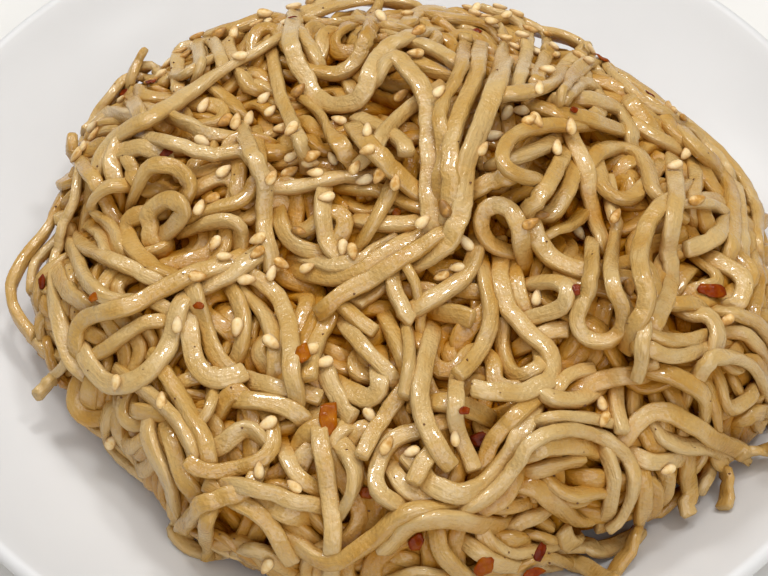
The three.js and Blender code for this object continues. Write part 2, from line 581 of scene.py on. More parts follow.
def sweepStrand(route, rng, broad=1.0):  # rings of points along one strand, blunt at both ends
    s = section
    line, gone = resample(route, strand["step"])
    tangent = unit(np.gradient(line, axis=0))
    out = heapOutside(line)[1]
    up = out - np.sum(out * tangent, axis=1)[:, None] * tangent
    for _ in range(12):  # the flat side turns slowly
        up[1:-1] = (up[:-2] + 2 * up[1:-1] + up[2:]) / 4
        up -= np.sum(up * tangent, axis=1)[:, None] * tangent
        up = unit(up)
    side = np.cross(up, tangent)

    def waves(label):
        return randomWaves(rng, 1, len(line), *s[label])[0]

    roll = waves("roll")[:, None]
    up, side = up * np.cos(roll) + side * np.sin(roll), side * np.cos(roll) - up * np.sin(roll)
    line = line + side * waves("sway")[:, None]
    turn = np.arange(strand["sides"]) / strand["sides"] * math.tau
    fat = rng.uniform(*s["fat"])
    flat = rng.uniform(*s["flat"])
    girth = fat * (1 + waves("girth"))
    crinkle = 1 + waves("crinkle")
    half = strand["width"] / 2 * girth * crinkle * (1 + flat) * broad
    tall = strand["thickness"] / 2 * girth * (1 - flat * 0.8) / broad ** 0.4
    ringX, ringY = (np.sign(v) * np.abs(v) ** strand["squareness"] for v in (np.cos(turn), np.sin(turn)))
    rings = (line[:, None, :] + side[:, None, :] * (half[:, None] * ringX)[:, :, None]
             + up[:, None, :] * (tall[:, None] * ringY)[:, :, None])
    for end, inner in ((0, 1), (-1, -2)):
        rings[end] = line[end] + (rings[end] - line[end]) * s["endSize"]
        rings[inner] = (line[inner] + (line[end] - line[inner]) * s["endReach"]
                        + (rings[inner] - line[inner]) * s["endShoulder"])
    spoke = rings - line[:, None, :]
    spoke /= np.linalg.norm(spoke, axis=2)[:, :, None] + 1e-9
    return rings, gone, rings + spoke * s["feeler"]


toneSpread = 0.7
alongScale = 0.1  # of the map along a strand


def noodleMesh(name, routes, broads, tints, light, seed):
    rng = np.random.default_rng(seed)
    sides = strand["sides"]
    coords, quads, caps, across, along, tones, lit = [], [], [], [], [], [], []
    start = 0
    for route, broad, tint in zip(routes, broads, tints):
        rings, gone, around = sweepStrand(route, rng, broad)
        count = len(rings)
        grid = start + np.arange(count * sides).reshape(count, sides)
        nextSide = np.roll(grid, -1, axis=1)
        quads.append(np.stack([grid[:-1], nextSide[:-1], nextSide[1:], grid[1:]], axis=-1).reshape(-1, 4))
        caps.append(np.array([grid[0][::-1], grid[-1]]))
        coords.append(rings.reshape(-1, 3))
        along.append(np.repeat(gone, sides) + rng.uniform(0, 500))
        across.append(np.tile(np.arange(sides) / sides, count))
        tones.append(np.full(count * sides, rng.uniform(tint, tint + toneSpread)))
        lit.append(skyAt(light, around.reshape(-1, 3)))
        start += count * sides
    quads, caps = np.concatenate(quads), np.concatenate(caps)
    mesh = bpy.data.meshes.new(name)
    mesh.vertices.add(start)
    mesh.vertices.foreach_set("co", (np.concatenate(coords) * mm).astype(np.float32).ravel())
    mesh.loops.add(quads.size + caps.size)
    loops = np.concatenate([quads.ravel(), caps.ravel()]).astype(np.int32)
    mesh.loops.foreach_set("vertex_index", loops)
    mesh.polygons.add(len(quads) + len(caps))
    starts = np.concatenate([np.arange(len(quads)) * 4, quads.size + np.arange(len(caps)) * sides])
    mesh.polygons.foreach_set("loop_start", starts.astype(np.int32))
    mesh.update(calc_edges=True)
    mesh.polygons.foreach_set("use_smooth", np.ones(len(starts), bool))
    u = np.concatenate(along)[loops]
    v = np.concatenate(across)[loops]
    quadLoops = np.arange(quads.size).reshape(-1, 4)
    closing = v[quadLoops[:, 1]] < v[quadLoops[:, 0]]  # where the map comes back round to its start
    v[quadLoops[closing][:, 1:3].ravel()] += 1
    uv = mesh.uv_layers.new(name="strandUV")
    uv.data.foreach_set("uv", np.stack([u * alongScale, v], axis=1).astype(np.float32).ravel())
    addValues(mesh, "strandTone", np.concatenate(tones))
    addValues(mesh, "strandLight", np.concatenate(lit))
    mesh.validate()
    return newObject(name, mesh)


# The strands that show most, each as the eye meets it: millimetres across and up on a board held
# square to the eye through the middle of the plate. The letters say how each end goes: o is cut off
# in the open, h dives out of sight. What is listed later lies on top.
heroes = (
    ("hh", (-16, 54.5), (-10, 56.5), (-3, 57.3), (4, 56.8), (9, 54.5)),
    ("hh", (5, 52.5), (9, 54), (13, 54.3), (17, 53), (21, 53)),
    ("hh", (-31, 51.5), (-26, 53), (-20, 53.6), (-13, 53), (-6, 53), (0, 52.3), (5, 51)),
    ("hh", (2, 50.3), (6, 49.5), (10, 47.8), (14, 45.5)),
    ("hh", (-41, 41), (-41, 45), (-39, 48.5), (-36.8, 47.5), (-36, 43.5)),
    ("hh", (-37, 45), (-36.2, 48.8), (-34, 48.8), (-32.5, 45)),
    ("hh", (-52, 40), (-49, 44.3), (-46.5, 44.6), (-44, 42.8), (-40.5, 42), (-37, 44)),
    ("hh", (-59, 31.5), (-57, 35.5), (-54, 39), (-51.5, 42.5), (-48, 42)),
    ("oh", (-60, 31), (-57, 33.3), (-53.5, 34.5), (-50, 34.3), (-46.5, 33)),
    ("hh", (-50, 43), (-51, 40.5), (-50, 37), (-48.3, 33.5)),
    ("hh", (-51, 30), (-54, 27.5), (-54.5, 23.5), (-53, 19.5)),
    ("hh", (-52, 27), (-49, 28.3), (-45.5, 27.3), (-43, 25)),
    ("hh", (-34.5, 40.5), (-31.5, 38), (-28.5, 35)),
    ("hh", (-29, 44), (-27.5, 41), (-24.5, 39.5)),
    ("hh", (-43, 34.3), (-39.5, 33), (-36.3, 31.2), (-33, 30), (-28.5, 30)),
    ("hh", (-51, 25.5), (-50, 21.5), (-47.8, 19.3), (-44.5, 19.8)),
    ("hh", (-49, 20.5), (-47.3, 24), (-43.5, 24.8), (-40.3, 23.3), (-38.8, 20), (-40, 16.5)),
    ("hh", (-46.3, 11), (-47, 15), (-44.5, 17.6), (-41.2, 17.3), (-40.6, 14), (-43, 11.5)),
    ("hh", (-46, 29.8), (-41.5, 29), (-37.5, 27.3), (-33, 26.6), (-28.5, 27.5), (-26, 25.5)),
    ("hh", (-58, 17), (-57.5, 22), (-55.8, 27), (-52, 31), (-47, 33.8), (-42, 36.8), (-37, 40.5),
     (-32, 43.8), (-27, 46.3), (-21.5, 49.3)),
    ("oh", (-62.5, 31), (-62.5, 28), (-60.5, 25), (-58, 21.8), (-56, 18), (-54, 14)),
    ("hh", (-53, 20.5), (-56.5, 20.3), (-58.2, 17.5), (-57, 14.3), (-54.3, 12), (-53.3, 8.5)),
    ("hh", (-62.8, 9.5), (-61.5, 12.8), (-58.5, 13), (-56.3, 10.5), (-55.5, 7.5)),
    ("hh", (-21.5, 42.5), (-20.8, 38.5), (-19, 34.5), (-17.5, 31), (-16.5, 28)),
    ("hh", (-16, 38.5), (-13.8, 35.5), (-11, 32), (-8.5, 28.3), (-6, 25), (-4.5, 22.5)),
    ("hh", (-16, 49.5), (-14, 47.3), (-13.2, 44.5)),
    ("hh", (-18.3, 47.5), (-15.8, 44.3), (-12, 43), (-8, 43), (-5.3, 45.3), (-4, 49), (-2.5, 53)),
    ("hh", (-15, 55), (-18, 53), (-18.6, 49), (-17.3, 45), (-15.3, 41.5), (-14, 38.5), (-11, 36.8),
     (-7.5, 36.5), (-4.5, 38.3), (-3, 42), (-1, 46), (2.5, 49.3), (7, 50.5)),
    ("ho", (0, 31.5), (2.5, 30.5), (4.3, 28), (4.5, 26.8)),
    ("hh", (-3, 28.8), (-0.5, 26), (2.5, 23), (5.5, 20.3)),
    ("hh", (-2, 28.3), (0.5, 31.5), (4, 35), (8, 37.8)),
    ("hh", (-0.5, 12.8), (3.5, 12.6), (8, 13)),
    ("hh", (-6, 20), (-1.5, 19.6), (3, 17.8), (7, 16), (11, 15.5)),
    ("hh", (24, 54.5), (27, 53.3), (28.6, 50), (28.2, 46), (27.3, 42.5)),
    ("hh", (33, 51), (36, 50.3), (39.5, 49), (41.3, 46.5)),
    ("hh", (29, 52.5), (32, 51.3), (33, 48.3), (31.5, 44)),
    ("hh", (24, 38.8), (28, 39.3), (32, 40.3), (35, 42.3), (37.5, 45)),
    ("hh", (28, 25.5), (26.5, 22.7), (23, 21.8), (20, 21), (17.2, 19)),
    ("ho", (-1.5, 42.5), (0.3, 45.8), (3, 46), (5.5, 43), (7.8, 40), (9, 36), (9, 30), (9.3, 25),
     (9, 20), (9.7, 15), (9.4, 10), (9.1, 8)),
    ("oh", (16.3, 50.3), (15.7, 46.5), (15, 43), (12.8, 39), (11.3, 35.5), (11.6, 31), (12, 27),
     (11.3, 22.5), (11.6, 18), (11.6, 13)),
    ("oh", (19.3, 48.5), (18.8, 44.5), (18, 41), (16, 37), (14.3, 32.5), (13.3, 28), (13.2, 23),
     (13.2, 18), (12.6, 12.5)),
    ("oow", (23.8, 51.5), (24, 46.5), (22.6, 41), (20.6, 35.5), (18.6, 30.5), (16.6, 25.5), (16, 20.5),
     (15.3, 15.5), (13.3, 10.5), (9.5, 6.7), (5, 4), (1, 1.8), (-3, -0.8), (-6.3, -3.6)),
    ("hh", (36.5, 38.5), (39, 40.5), (41.8, 39.8), (43, 36.8), (42, 34)),
    ("hh", (36.3, 39.5), (38.3, 43), (41.5, 44.8), (45, 43.6), (47.5, 40.5), (49.5, 36.5), (52, 33),
     (55, 30.5), (58.5, 28)),
    ("hh", (42.5, 37), (46, 36), (48.6, 33.3), (49.3, 29.5)),
    ("hh", (33, 35.5), (37, 34), (41.5, 33.4), (46, 32)),
    ("hh", (24.8, 25.7), (28.5, 26.8), (32.5, 28.5), (36, 30.8)),
    ("hh", (38, 33), (34, 32.7), (29.5, 31.7), (25.5, 30), (23.6, 27), (24.5, 23.8), (27.5, 22.8)),
    ("hh", (35, 25), (33, 21), (30.5, 17.5), (28.5, 15)),
    ("hh", (37.8, 23), (36.8, 19.5), (34.8, 16), (32, 14.5)),
    ("hh", (43, 23.5), (43.7, 19.8), (46.5, 18), (50, 17.8), (52, 20.5)),
    ("hh", (40.8, 24.5), (43, 27.2), (47, 28), (50.5, 26.3), (52.6, 23), (53.8, 19.5), (56.5, 17.3)),
    ("hh", (40.5, 16), (38.5, 13.3), (35, 11.7), (32, 10.7)),
    ("hh", (37.3, 31), (39, 27), (40.6, 22.5), (41, 17.5), (42.3, 13), (43.3, 10)),
    ("hh", (44, 44), (49, 41.3), (54, 37.8), (59, 34), (64, 30), (69, 25.3), (72.5, 20.5),
     (74.5, 14.5), (74.5, 8)),
    ("hh", (47, 41), (51, 37.3), (56, 33.8), (61, 31), (65.5, 27), (69.3, 21.8), (71, 16), (71.3, 9.5)),
    ("hh", (50, 33), (54, 30), (58, 28.3), (61, 25), (62, 20.5), (61.5, 16)),
    ("hh", (60, 29.5), (63.5, 26.8), (67, 23.5), (69.3, 19), (69.7, 13), (69.2, 7), (68.5, 3)),
    ("ho", (61, 16.5), (64.8, 16.3), (68, 14.8), (67.8, 12), (65.3, 9.6), (62.5, 8.4), (60, 7.5)),
    ("hh", (57, 17.3), (54.3, 15.3), (52.3, 11.5), (51.3, 7.5), (51.5, 3), (52.8, -1.5), (52, -5.5),
     (50.5, -8.5)),
    ("hh", (57.7, 24), (58.3, 19.5), (57.9, 14), (57, 8), (57.1, 2.5), (56.5, -2.5), (54.3, -6.5),
     (51.8, -9.5)),
    ("hh", (-38, 14), (-34.5, 16), (-30.5, 16.8), (-27, 18.5), (-25, 22), (-25, 26)),
    ("hh", (-36, 12.5), (-32, 13.6), (-28.8, 12.5), (-28.5, 10)),
    ("hh", (-20.5, 15), (-20, 11.5), (-17.5, 8.5), (-14, 7), (-11, 7)),
    ("hh", (0, 17), (-1.8, 13.5), (-4, 10), (-6, 6.5)),
    ("hh", (-12, 18.5), (-12.2, 14), (-11.6, 9.5), (-9.5, 6.5), (-6, 5.2)),
    ("ho", (-27, 28), (-25.3, 24.5), (-23.7, 20.5), (-24.2, 16), (-23.8, 11), (-22.8, 6.5), (-22.5, 3)),
    ("hh", (-22.5, 19.6), (-18, 20), (-13, 20.9), (-8.5, 22.3), (-4.5, 22.3)),
    ("hh", (-62.3, 11.5), (-60, 8.7), (-55.5, 6.3), (-50.5, 4), (-46, 1.6), (-42, 0.3)),
    ("hh", (-47.5, 14.6), (-50.5, 14), (-51.4, 10.5), (-49.5, 6.8), (-45.5, 3.9), (-40.5, 1.6)),
    ("hh", (-61.2, 6.5), (-60, 2.5), (-57.3, -0.7), (-53.5, -2.8), (-49.5, -2.7)),
    ("hh", (-64, 2), (-62, -1.5), (-59.5, -3)),
    ("hh", (-58.5, -14), (-54.5, -11.5), (-50.5, -8.3), (-46.5, -6.7), (-42.5, -6.5)),
    ("hh", (-63, 20), (-65, 15), (-69, 9.5), (-73, 5), (-75.3, 0), (-74.5, -4.5), (-71, -9),
     (-66.5, -12.8), (-63, -14)),
    ("hh", (-67, 8), (-70.3, 4.5), (-70.7, 0), (-68.7, -4), (-66, -8), (-63.7, -12)),
    ("ho", (-62.5, -14), (-65, -16.7), (-68, -20), (-71, -23.2)),
    ("hh", (-61.5, 19), (-63.5, 13.5), (-65, 8), (-66, 2.5), (-65.6, -2.5), (-64.3, -7.5), (-63, -12),
     (-61, -16), (-57.5, -17.8)),
    ("hh", (-60.3, -15), (-61, -10.5), (-60, -6.3), (-56, -4.5), (-51, -3.7), (-46, -1.3), (-41, 1.6),
     (-37, 3.3), (-32, 4.3), (-27.5, 6.5)),
    ("hh", (-58, -16), (-56, -18.7), (-51.8, -19.3), (-47.3, -17), (-43.8, -13), (-41.8, -8.5),
     (-41.2, -4.5), (-38.7, -1), (-34, 1), (-30, 3.3), (-26, 6.3)),
    ("hh", (-27.5, -1), (-24, -5), (-21.8, -9.5), (-21.3, -14)),
    ("hh", (-27, -18.5), (-22, -20), (-17.5, -21)),
    ("hh", (-28, 3), (-24.5, 1.5), (-21.3, -1.8), (-19.2, -5.5), (-18.6, -10.5), (-18.6, -15.5),
     (-17.8, -20.5)),
    ("hh", (-38, -1.5), (-36.5, -5.5), (-35, -10.5), (-33, -14.5), (-31, -17)),
    ("hh", (-30, -1), (-28.3, -5), (-28, -9.5), (-29.5, -14)),
    ("ho", (-39.3, -7), (-38.5, -12), (-37, -16.3), (-34, -18.6), (-30.5, -18), (-27.7, -16.3)),
    ("ho", (-8.5, -2.5), (-11, -6.5), (-13.6, -10.3), (-15, -14), (-15.3, -18.3)),
    ("hh", (-15, 5.8), (-10, 4.5), (-5, 5), (-1, 7.5)),
    ("hh", (-15.5, 3.5), (-11, 2.2), (-6, 3), (-1, 5.6), (4, 9), (8.5, 12.3)),
    ("ho", (10, 9.5), (5.5, 7), (0.5, 3.8), (-4.5, 0.9), (-9, -1.8), (-13.3, -5.2)),
    ("hh", (5, 4), (6.3, 0.5), (7.3, -3.5), (7.5, -7)),
    ("ho", (1.5, 2), (2.5, -1.8), (4.3, -5), (5.8, -7.3)),
    ("hh", (-8, -7), (-5, -10.8), (-2, -14.3), (1.2, -17.5), (3, -20.5)),
    ("ho", (-6, -5.5), (-4, -7.3), (-1.8, -8.7)),
    ("hh", (0, -5), (1.7, -9), (3.5, -12.5), (4.3, -17)),
    ("ho", (5, -11), (5.5, -15), (4.8, -19), (4, -21.8)),
    ("hh", (18.6, 10), (18.4, 6), (16, 2.3), (12, -0.7), (8, -3.2)),
    ("ho", (8.5, -4.3), (12, -4.8), (15.3, -5.3), (17.8, -6.6)),
    ("hh", (26.3, 5), (26.7, 0), (28.3, -4.5), (30.3, -7.5)),
    ("ho", (20, 2), (21.3, -3.5), (21, -8.5), (18.8, -13), (16.3, -16.5), (14.5, -18)),
    ("hh", (24, -11), (24.3, -15), (26.8, -17.7), (30, -17.3), (31.9, -14.8), (31.3, -11.5)),
    ("ho", (30, -10.5), (33.3, -8.5), (37, -8)),
    ("ho", (23.3, 5.5), (23.3, 1), (24, -3), (26.5, -6.5), (30, -9.7), (33, -13), (34, -16.5),
     (32.3, -19.7), (28.3, -21.2), (23, -20.5), (17.8, -20)),
    ("hh", (30.5, 7.5), (27, 6.8), (23.5, 7.7), (20.6, 9.6), (19, 12.8), (20, 15.8), (23.2, 16.9),
     (26, 15.2), (27.1, 11.5), (27.6, 8)),
    ("hh", (32, 1), (35, 1.5), (37, -0.5), (35.5, -4), (32.5, -5)),
    ("ho", (30.5, 10.5), (32.3, 7), (35.3, 4.7), (39, 3.6), (42.3, 2.9)),
    ("hh", (41.5, 3.5), (41, 0), (39.3, -4), (38.2, -7.5), (40, -10.3), (44, -11), (47.3, -9.3),
     (48.6, -6), (47.3, -2.5), (45.7, 1), (45.3, 5), (46, 9), (46.6, 13), (45.6, 16.5)),
    ("hh", (32, -20), (34.5, -22.7), (38, -22.5), (41, -20.5)),
    ("ho", (34.5, -19.5), (36.5, -17.3), (39.5, -16.3), (42.3, -16.3)),
    ("hh", (38.5, -21.5), (41.5, -19.5), (45.5, -18), (49.5, -17.3)),
    ("ho", (53.3, -10), (52.8, -13.5), (53.3, -17)),
    ("ho", (51.7, -9), (51.8, -13), (51.3, -17), (50.5, -18.8)),
    ("hh", (74, 5), (74.5, 0), (73.5, -5)),
    ("hh", (68.5, 4), (71.5, 2.5), (71.8, -1), (69.5, -3.2)),
    ("hh", (68, -5), (72, -5.5), (75.5, -7.5), (77.5, -11)),
    ("hh", (54, -12.5), (58, -13.6), (62.5, -12.6)),
    ("hh", (54, -9), (57, -10.6), (61, -10.6), (65, -9.3), (69, -8.6), (72.5, -9.7), (75.3, -13.5)),
    ("ho", (62, -4.8), (65.3, -5.6), (66.8, -8.5), (66.3, -12), (65.8, -14.6)),
    ("hh", (70, -19), (71.5, -23), (70.5, -27)),
    ("hh", (62, -19), (64.3, -15.3), (68.3, -13.3), (72.5, -15), (75.5, -18.5), (76.5, -23)),
    ("hh", (54.5, -16.5), (59, -18.2), (63, -20.5), (64.8, -24), (63.5, -27.5)),
    ("hh", (-52.5, -22), (-55.3, -26), (-55, -30), (-52, -33.5), (-48, -36.5)),
    ("hh", (-51.8, -21), (-52.6, -25.5), (-51.3, -30.5), (-48.3, -34.8)),
    ("hh", (-43, -27), (-42, -32), (-40.5, -37), (-37.5, -41)),
    ("hh", (-47, -24.5), (-47, -29), (-45.8, -33), (-43.5, -37.5), (-41.8, -41.7), (-40.3, -45)),
    ("hh", (-34, -21), (-34.5, -25), (-37, -27)),
    ("hh", (-43.5, -17.5), (-41, -21.5), (-38, -26), (-35.7, -30.5), (-35, -35)),
    ("hh", (-49, -19.5), (-45.5, -22.8), (-41.5, -26.5), (-39, -31), (-38, -35)),
    ("hh", (-28.5, -22), (-23.5, -22.8), (-18, -24.3), (-14.5, -27.5)),
    ("hh", (-31, -30), (-28.5, -28), (-25.5, -29), (-24, -31.5)),
    ("hh", (-41.3, -44), (-42.2, -48), (-39.8, -51.5), (-36, -53.2), (-30.5, -52.5), (-25, -52),
     (-20.5, -54.5)),
    ("ho", (-34.3, -43), (-35.5, -47), (-35.2, -51), (-35.2, -54.8)),
    ("oh", (-39.3, -47), (-37, -44), (-33.5, -41.8), (-29, -40.7), (-26, -38.5), (-25, -35)),
    ("oh", (-39.8, -34.3), (-37.3, -36.3), (-33, -36.8), (-28.5, -35.8), (-24, -33.8), (-21.8, -31),
     (-22.5, -28.5)),
    ("ho", (-30, -42), (-26, -44.3), (-23, -47.5), (-20.3, -51.5), (-18.3, -54.6)),
    ("hh", (-23, -43.5), (-19, -45.3), (-14.5, -46)),
    ("hh", (-28, -40.3), (-22.5, -41), (-17.5, -42.8), (-12.5, -44)),
    ("hh", (-20.3, -31), (-18.8, -35.5), (-16, -38.7), (-12.5, -40.5)),
    ("hh", (-9.8, -30.3), (-7, -33), (-5.6, -37), (-6.5, -41), (-8.8, -44.5)),
    ("hh", (-13, -28), (-12.2, -33), (-11.5, -38), (-10.8, -43), (-10.3, -48), (-10.3, -52.5)),
    ("hh", (2, -57), (7, -56), (12, -57)),
    ("hh", (10.5, -49), (12, -53.5), (15.5, -57)),
    ("hh", (16, -50.5), (22, -54.5), (30, -55.5)),
    ("hh", (24, -57), (30, -54), (36, -54.5), (42, -57)),
    ("oh", (-0.5, -53), (3, -49.5), (7.5, -46.7), (13, -45.8), (18, -47.3), (22, -47)),
    ("hh", (-19, -49.5), (-15.5, -52.3), (-11, -54.2), (-6.5, -52.8), (-2, -50), (2, -46.5), (7, -44.3),
     (12, -43.3)),
    ("ho", (-13.5, -14.5), (-11, -18), (-9, -22), (-7.6, -25), (-6.2, -27.5)),
    ("ho", (1.5, -24), (-1, -27.5), (-3, -30.8), (-4.8, -33.8)),
    ("hh", (-1, -17), (-0.8, -20.5), (-3.5, -22.5), (-6.5, -20.8)),
    ("hh", (10, -23), (14, -22.5), (17, -24)),
    ("hh", (20, -35), (21.5, -31), (26, -26), (30, -23)),
    ("ho", (14.3, -22), (14.2, -27), (16, -32), (18.3, -36.6)),
    ("hh", (2.3, -36), (4.5, -40), (8.5, -42.3), (12.5, -42.3)),
    ("ho", (10, -32), (8, -35), (5.6, -39)),
    ("hh", (8, -28.5), (3.5, -30), (0, -33), (-1.6, -37), (-0.3, -41), (3, -43.3)),
    ("ho", (8.8, -12), (7.6, -17), (7.2, -22), (8.5, -27), (10.5, -32), (13.8, -36)),
    ("hh", (31, -27), (36, -25.8), (41.5, -26), (46, -28)),
    ("hh", (20, -43), (24, -43.5), (28.5, -41.5), (31.5, -41.5)),
    ("oh", (23, -49.6), (25.3, -47), (29.5, -45.6), (33.3, -42.8)),
    ("hh", (34, -51.8), (39, -51), (43.5, -52.5), (47, -51)),
    ("hh", (18.8, -46.5), (20, -50.5), (23.5, -52.7), (28, -52.2), (33, -51)),
    ("hh", (27, -38.3), (31.5, -40.3), (35, -43.3), (38, -46.6), (41.3, -46.8), (43.8, -44)),
    ("hh", (31.8, -36.5), (34.3, -40), (38, -41.3), (43, -40.3)),
    ("ho", (27.5, -37), (31, -36.3), (34.8, -34.5), (40, -34.6)),
    ("hh", (29, -33), (35, -31.3), (41, -31.8), (45, -33.5)),
    ("hh", (43, -32), (45.5, -35), (45.8, -39.5), (44.5, -43.5)),
    ("hh", (50, -34), (51.8, -38), (51.8, -43), (50.5, -49), (48, -54), (45.5, -57.5)),
    ("hh", (8, -37), (11, -40), (15, -41.8), (19.5, -39.8), (23.5, -36), (26.5, -31.5), (28.8, -27)),
    ("oo", (13.5, -44), (18, -43.2), (22.5, -40), (26.3, -35.8), (29.3, -31.3), (34, -28.8), (40, -29),
     (45, -31), (48.7, -34), (50, -38), (49.3, -42.5), (46.8, -46), (44.5, -48)),
    ("hh", (49.5, -33.5), (52.5, -35.3), (57, -34), (61, -33.3)),
    ("ho", (65.3, -33.5), (64.8, -37.5), (62.8, -41.5)),
    ("ho", (60.3, -33.5), (61, -38), (60.8, -42.5), (61, -46)),
    ("hh", (53.5, -26.5), (56, -30), (60.3, -31.8), (65, -31.6), (68.5, -33)),
    ("ho", (65.8, -32), (68.3, -35.8), (69, -40.3), (68, -45)),
    ("hh", (69, -30), (70.5, -26.5), (73.5, -24.8), (78, -24.8)),
    ("hh", (47.5, -31), (50, -27.5), (54, -24.6), (58, -25.4), (62, -27.6), (66, -30.2), (70, -32.4),
     (74, -33), (78, -32)),
    ("ho", (46.3, -20), (46.5, -25), (47.8, -29.6)),
)

breadths = {"w": 1.3}  # a third letter marks the strands that are wider than most

# How a line of sight is followed down to the heap.
sight = {
    "reach": (250.0, 460.0),
    "miss": 16,  # a line that passes the heap nearer than this still hangs by it
    "plateGap": 0.6,
    "level": -1.0,
    "stops": 14,  # places between two listed points
    "dive": 0.55,  # share of the tail that is added beyond a hidden end
}


def eyeHit(across, up, level):  # where each line of sight meets the heap, its edge or the plate
    rays = eyeRays(across, up)
    reach = np.arange(*sight["reach"], 1.0)
    spots = eyePlace + rays[:, None, :] * reach[None, :, None]
    outside = heapOutside(spots.reshape(-1, 3))[0].reshape(len(rays), -1)
    hit = np.argmax(outside <= level, axis=1)
    missed = outside.min(axis=1) > level
    close = missed & (outside.min(axis=1) < sight["miss"])
    table = plateTop(np.hypot(spots[..., 0], spots[..., 1])) + strand["thickness"] * sight["plateGap"]
    onPlate = np.argmax(spots[..., 2] <= table, axis=1)
    pick = np.where(close, outside.argmin(axis=1), np.where(missed, onPlate, hit))
    gone = reach[np.minimum(pick, onPlate)]
    for _ in range(6):
        gone[1:-1] = (gone[:-2] + 2 * gone[1:-1] + gone[2:]) / 4
    return eyePlace + rays * gone[:, None]


def curveThrough(points, times):  # a smooth curve through a few chosen points
    p = np.array(points, float)
    t = np.arange(times)[None, :, None] / times
    return np.concatenate([smoothBetween(*neighbours(p), t).reshape(-1, p.shape[1]), p[-1:]])


def heroRoute(ends, points):
    points = [np.array(p, float) for p in points]
    extra = sight["dive"] * tail["length"]
    for side, (tip, back) in enumerate(((0, 1), (-1, -2))):
        if ends[side] == "h":
            way = points[tip] - points[back]
            more = [points[tip] + way / np.linalg.norm(way) * extra]
            points = points + more if side else more + points
    seen = curveThrough(points, sight["stops"])
    place = eyeHit(seen[:, 0], seen[:, 1], sight["level"])
    even, gone = evenly(place, strand["bead"], 2)
    seen = columnsAt(even, gone, seen)
    return columnsAt(even, gone, place), eyeRays(seen[:, 0], seen[:, 1])


skyGrid = {
    "low": (-84.0, -88.0, 1.0),
    "cells": (172, 160, 60),  # one millimetre each
    "dimming": 0.5,  # light lost in each millimetre of noodle
    "radius": 1.6,  # round a strand's middle
    # the ways that light comes down: the sideways step for each millimetre, and its share
    "straight": 0.12,
    "slanting": ((1, 0.05), (2, 0.04), (4, 0.02)),
    "gain": 1.25,
    "leastOpen": 0.45,
}
threeWays = (-1, 0, 1)


def openSky(routes):  # how much light comes down to each cell through the noodles over it
    cells = skyGrid["cells"]
    filled = np.zeros(cells)
    spots = np.concatenate([curveThrough(r, 3) for r in routes]) - np.array(skyGrid["low"])
    middle = np.floor(spots).astype(int)
    for step in ((x, y, z) for x in threeWays for y in threeWays for z in threeWays):
        cell = np.clip(middle + step, 0, np.array(cells) - 1)
        far = np.linalg.norm(cell + 0.5 - spots, axis=1)
        np.maximum.at(filled, tuple(cell.T), np.clip(skyGrid["radius"] - far, 0, 1))
    grid = np.stack(np.meshgrid(*(np.arange(n) + 0.5 for n in cells), indexing="ij"), axis=-1).reshape(-1, 3)
    filled[heapOutside(grid + skyGrid["low"])[0].reshape(cells) < heapShape["coreLevel"]] = 1
    ways = [(0, 0, skyGrid["straight"])]
    ways += [(x * far, y * far, share) for far, share in skyGrid["slanting"]
             for x in threeWays for y in threeWays if x or y]
    light = np.zeros(cells)
    for x, y, share in ways:
        step = math.sqrt(1 + x * x + y * y) * skyGrid["dimming"]
        above = np.zeros(cells[:2])
        for z in range(cells[2] - 2, -1, -1):
            above = np.roll(above + filled[:, :, z + 1], (-x, -y), (0, 1))
            light[:, :, z] += share * np.exp(-above * step)
    light[:, :, -1] = 1
    return np.minimum(light * skyGrid["gain"], 1)


def skyAt(light, points):  # against what a smooth heap would get there
    place = np.clip(points - skyGrid["low"] - 0.5, 0, np.array(light.shape) - 1.01)
    low = np.floor(place).astype(int)
    part = place - low
    total = np.zeros(len(points))
    for step in ((x, y, z) for x in (0, 1) for y in (0, 1) for z in (0, 1)):
        share = np.abs(1 - np.array(step) - part)
        total += share[:, 0] * share[:, 1] * share[:, 2] * light[tuple((low + step).T)]
    least = skyGrid["leastOpen"]
    smooth = 1 - least + least * heapOutside(points)[1][:, 2]
    return np.minimum(total / np.clip(smooth, least, 1), 1)


noodleMeshes = {
    "most": 165,  # thousands of triangles in one mesh
    "seed": 100,
    "looseTint": 0.0,
    "placedTint": 0.3,  # the placed strands are paler
}


def shareOut(routes):  # runs of strands, each small enough for one mesh
    size = np.array([len(r) for r in routes]) * strand["bead"] / strand["step"] * strand["sides"] * 2 / 1000
    total = np.cumsum(size)
    count = int(math.ceil(total[-1] / noodleMeshes["most"]))
    inner = [int(np.searchsorted(total, total[-1] * k / count)) for k in range(1, count)]
    return list(zip([0] + inner, inner + [len(routes)]))


def layNoodles():
    routes = [layOnPile(route) for layer in layers for route in walkHanks(layer)]
    looseCount, looseBeads = len(routes), sum(len(r) for r in routes)
    pinRay = []
    for ends, *points in heroes:
        route, rays = heroRoute(ends, points)
        routes.append(layOnPile(route, rays, ends))
        pinRay.append(rays)
    beads = sum(len(r) for r in routes)
    print("strands laid:", len(routes), "metres:", round(looseBeads * strand["bead"] / 1000, 1),
          "and", round((beads - looseBeads) * strand["bead"] / 1000, 1))
    settled = settle(routes, np.arange(looseBeads, beads), np.concatenate(pinRay))
    light = openSky(settled)
    broads = [1.0] * looseCount + [breadths.get(ends[2:], 1.0) for ends, *_ in heroes]
    tints = [noodleMeshes["looseTint"]] * looseCount + [noodleMeshes["placedTint"]] * len(heroes)
    seed = noodleMeshes["seed"]
    pieces = [noodleMesh(f"noodles{k + 1}", settled[a:b], broads[a:b], tints[a:b], light, seed + k)
              for k, (a, b) in enumerate(shareOut(settled))]
    print("noodle meshes:", len(pieces), "faces:", sum(len(p.data.polygons) for p in pieces))
    return pieces


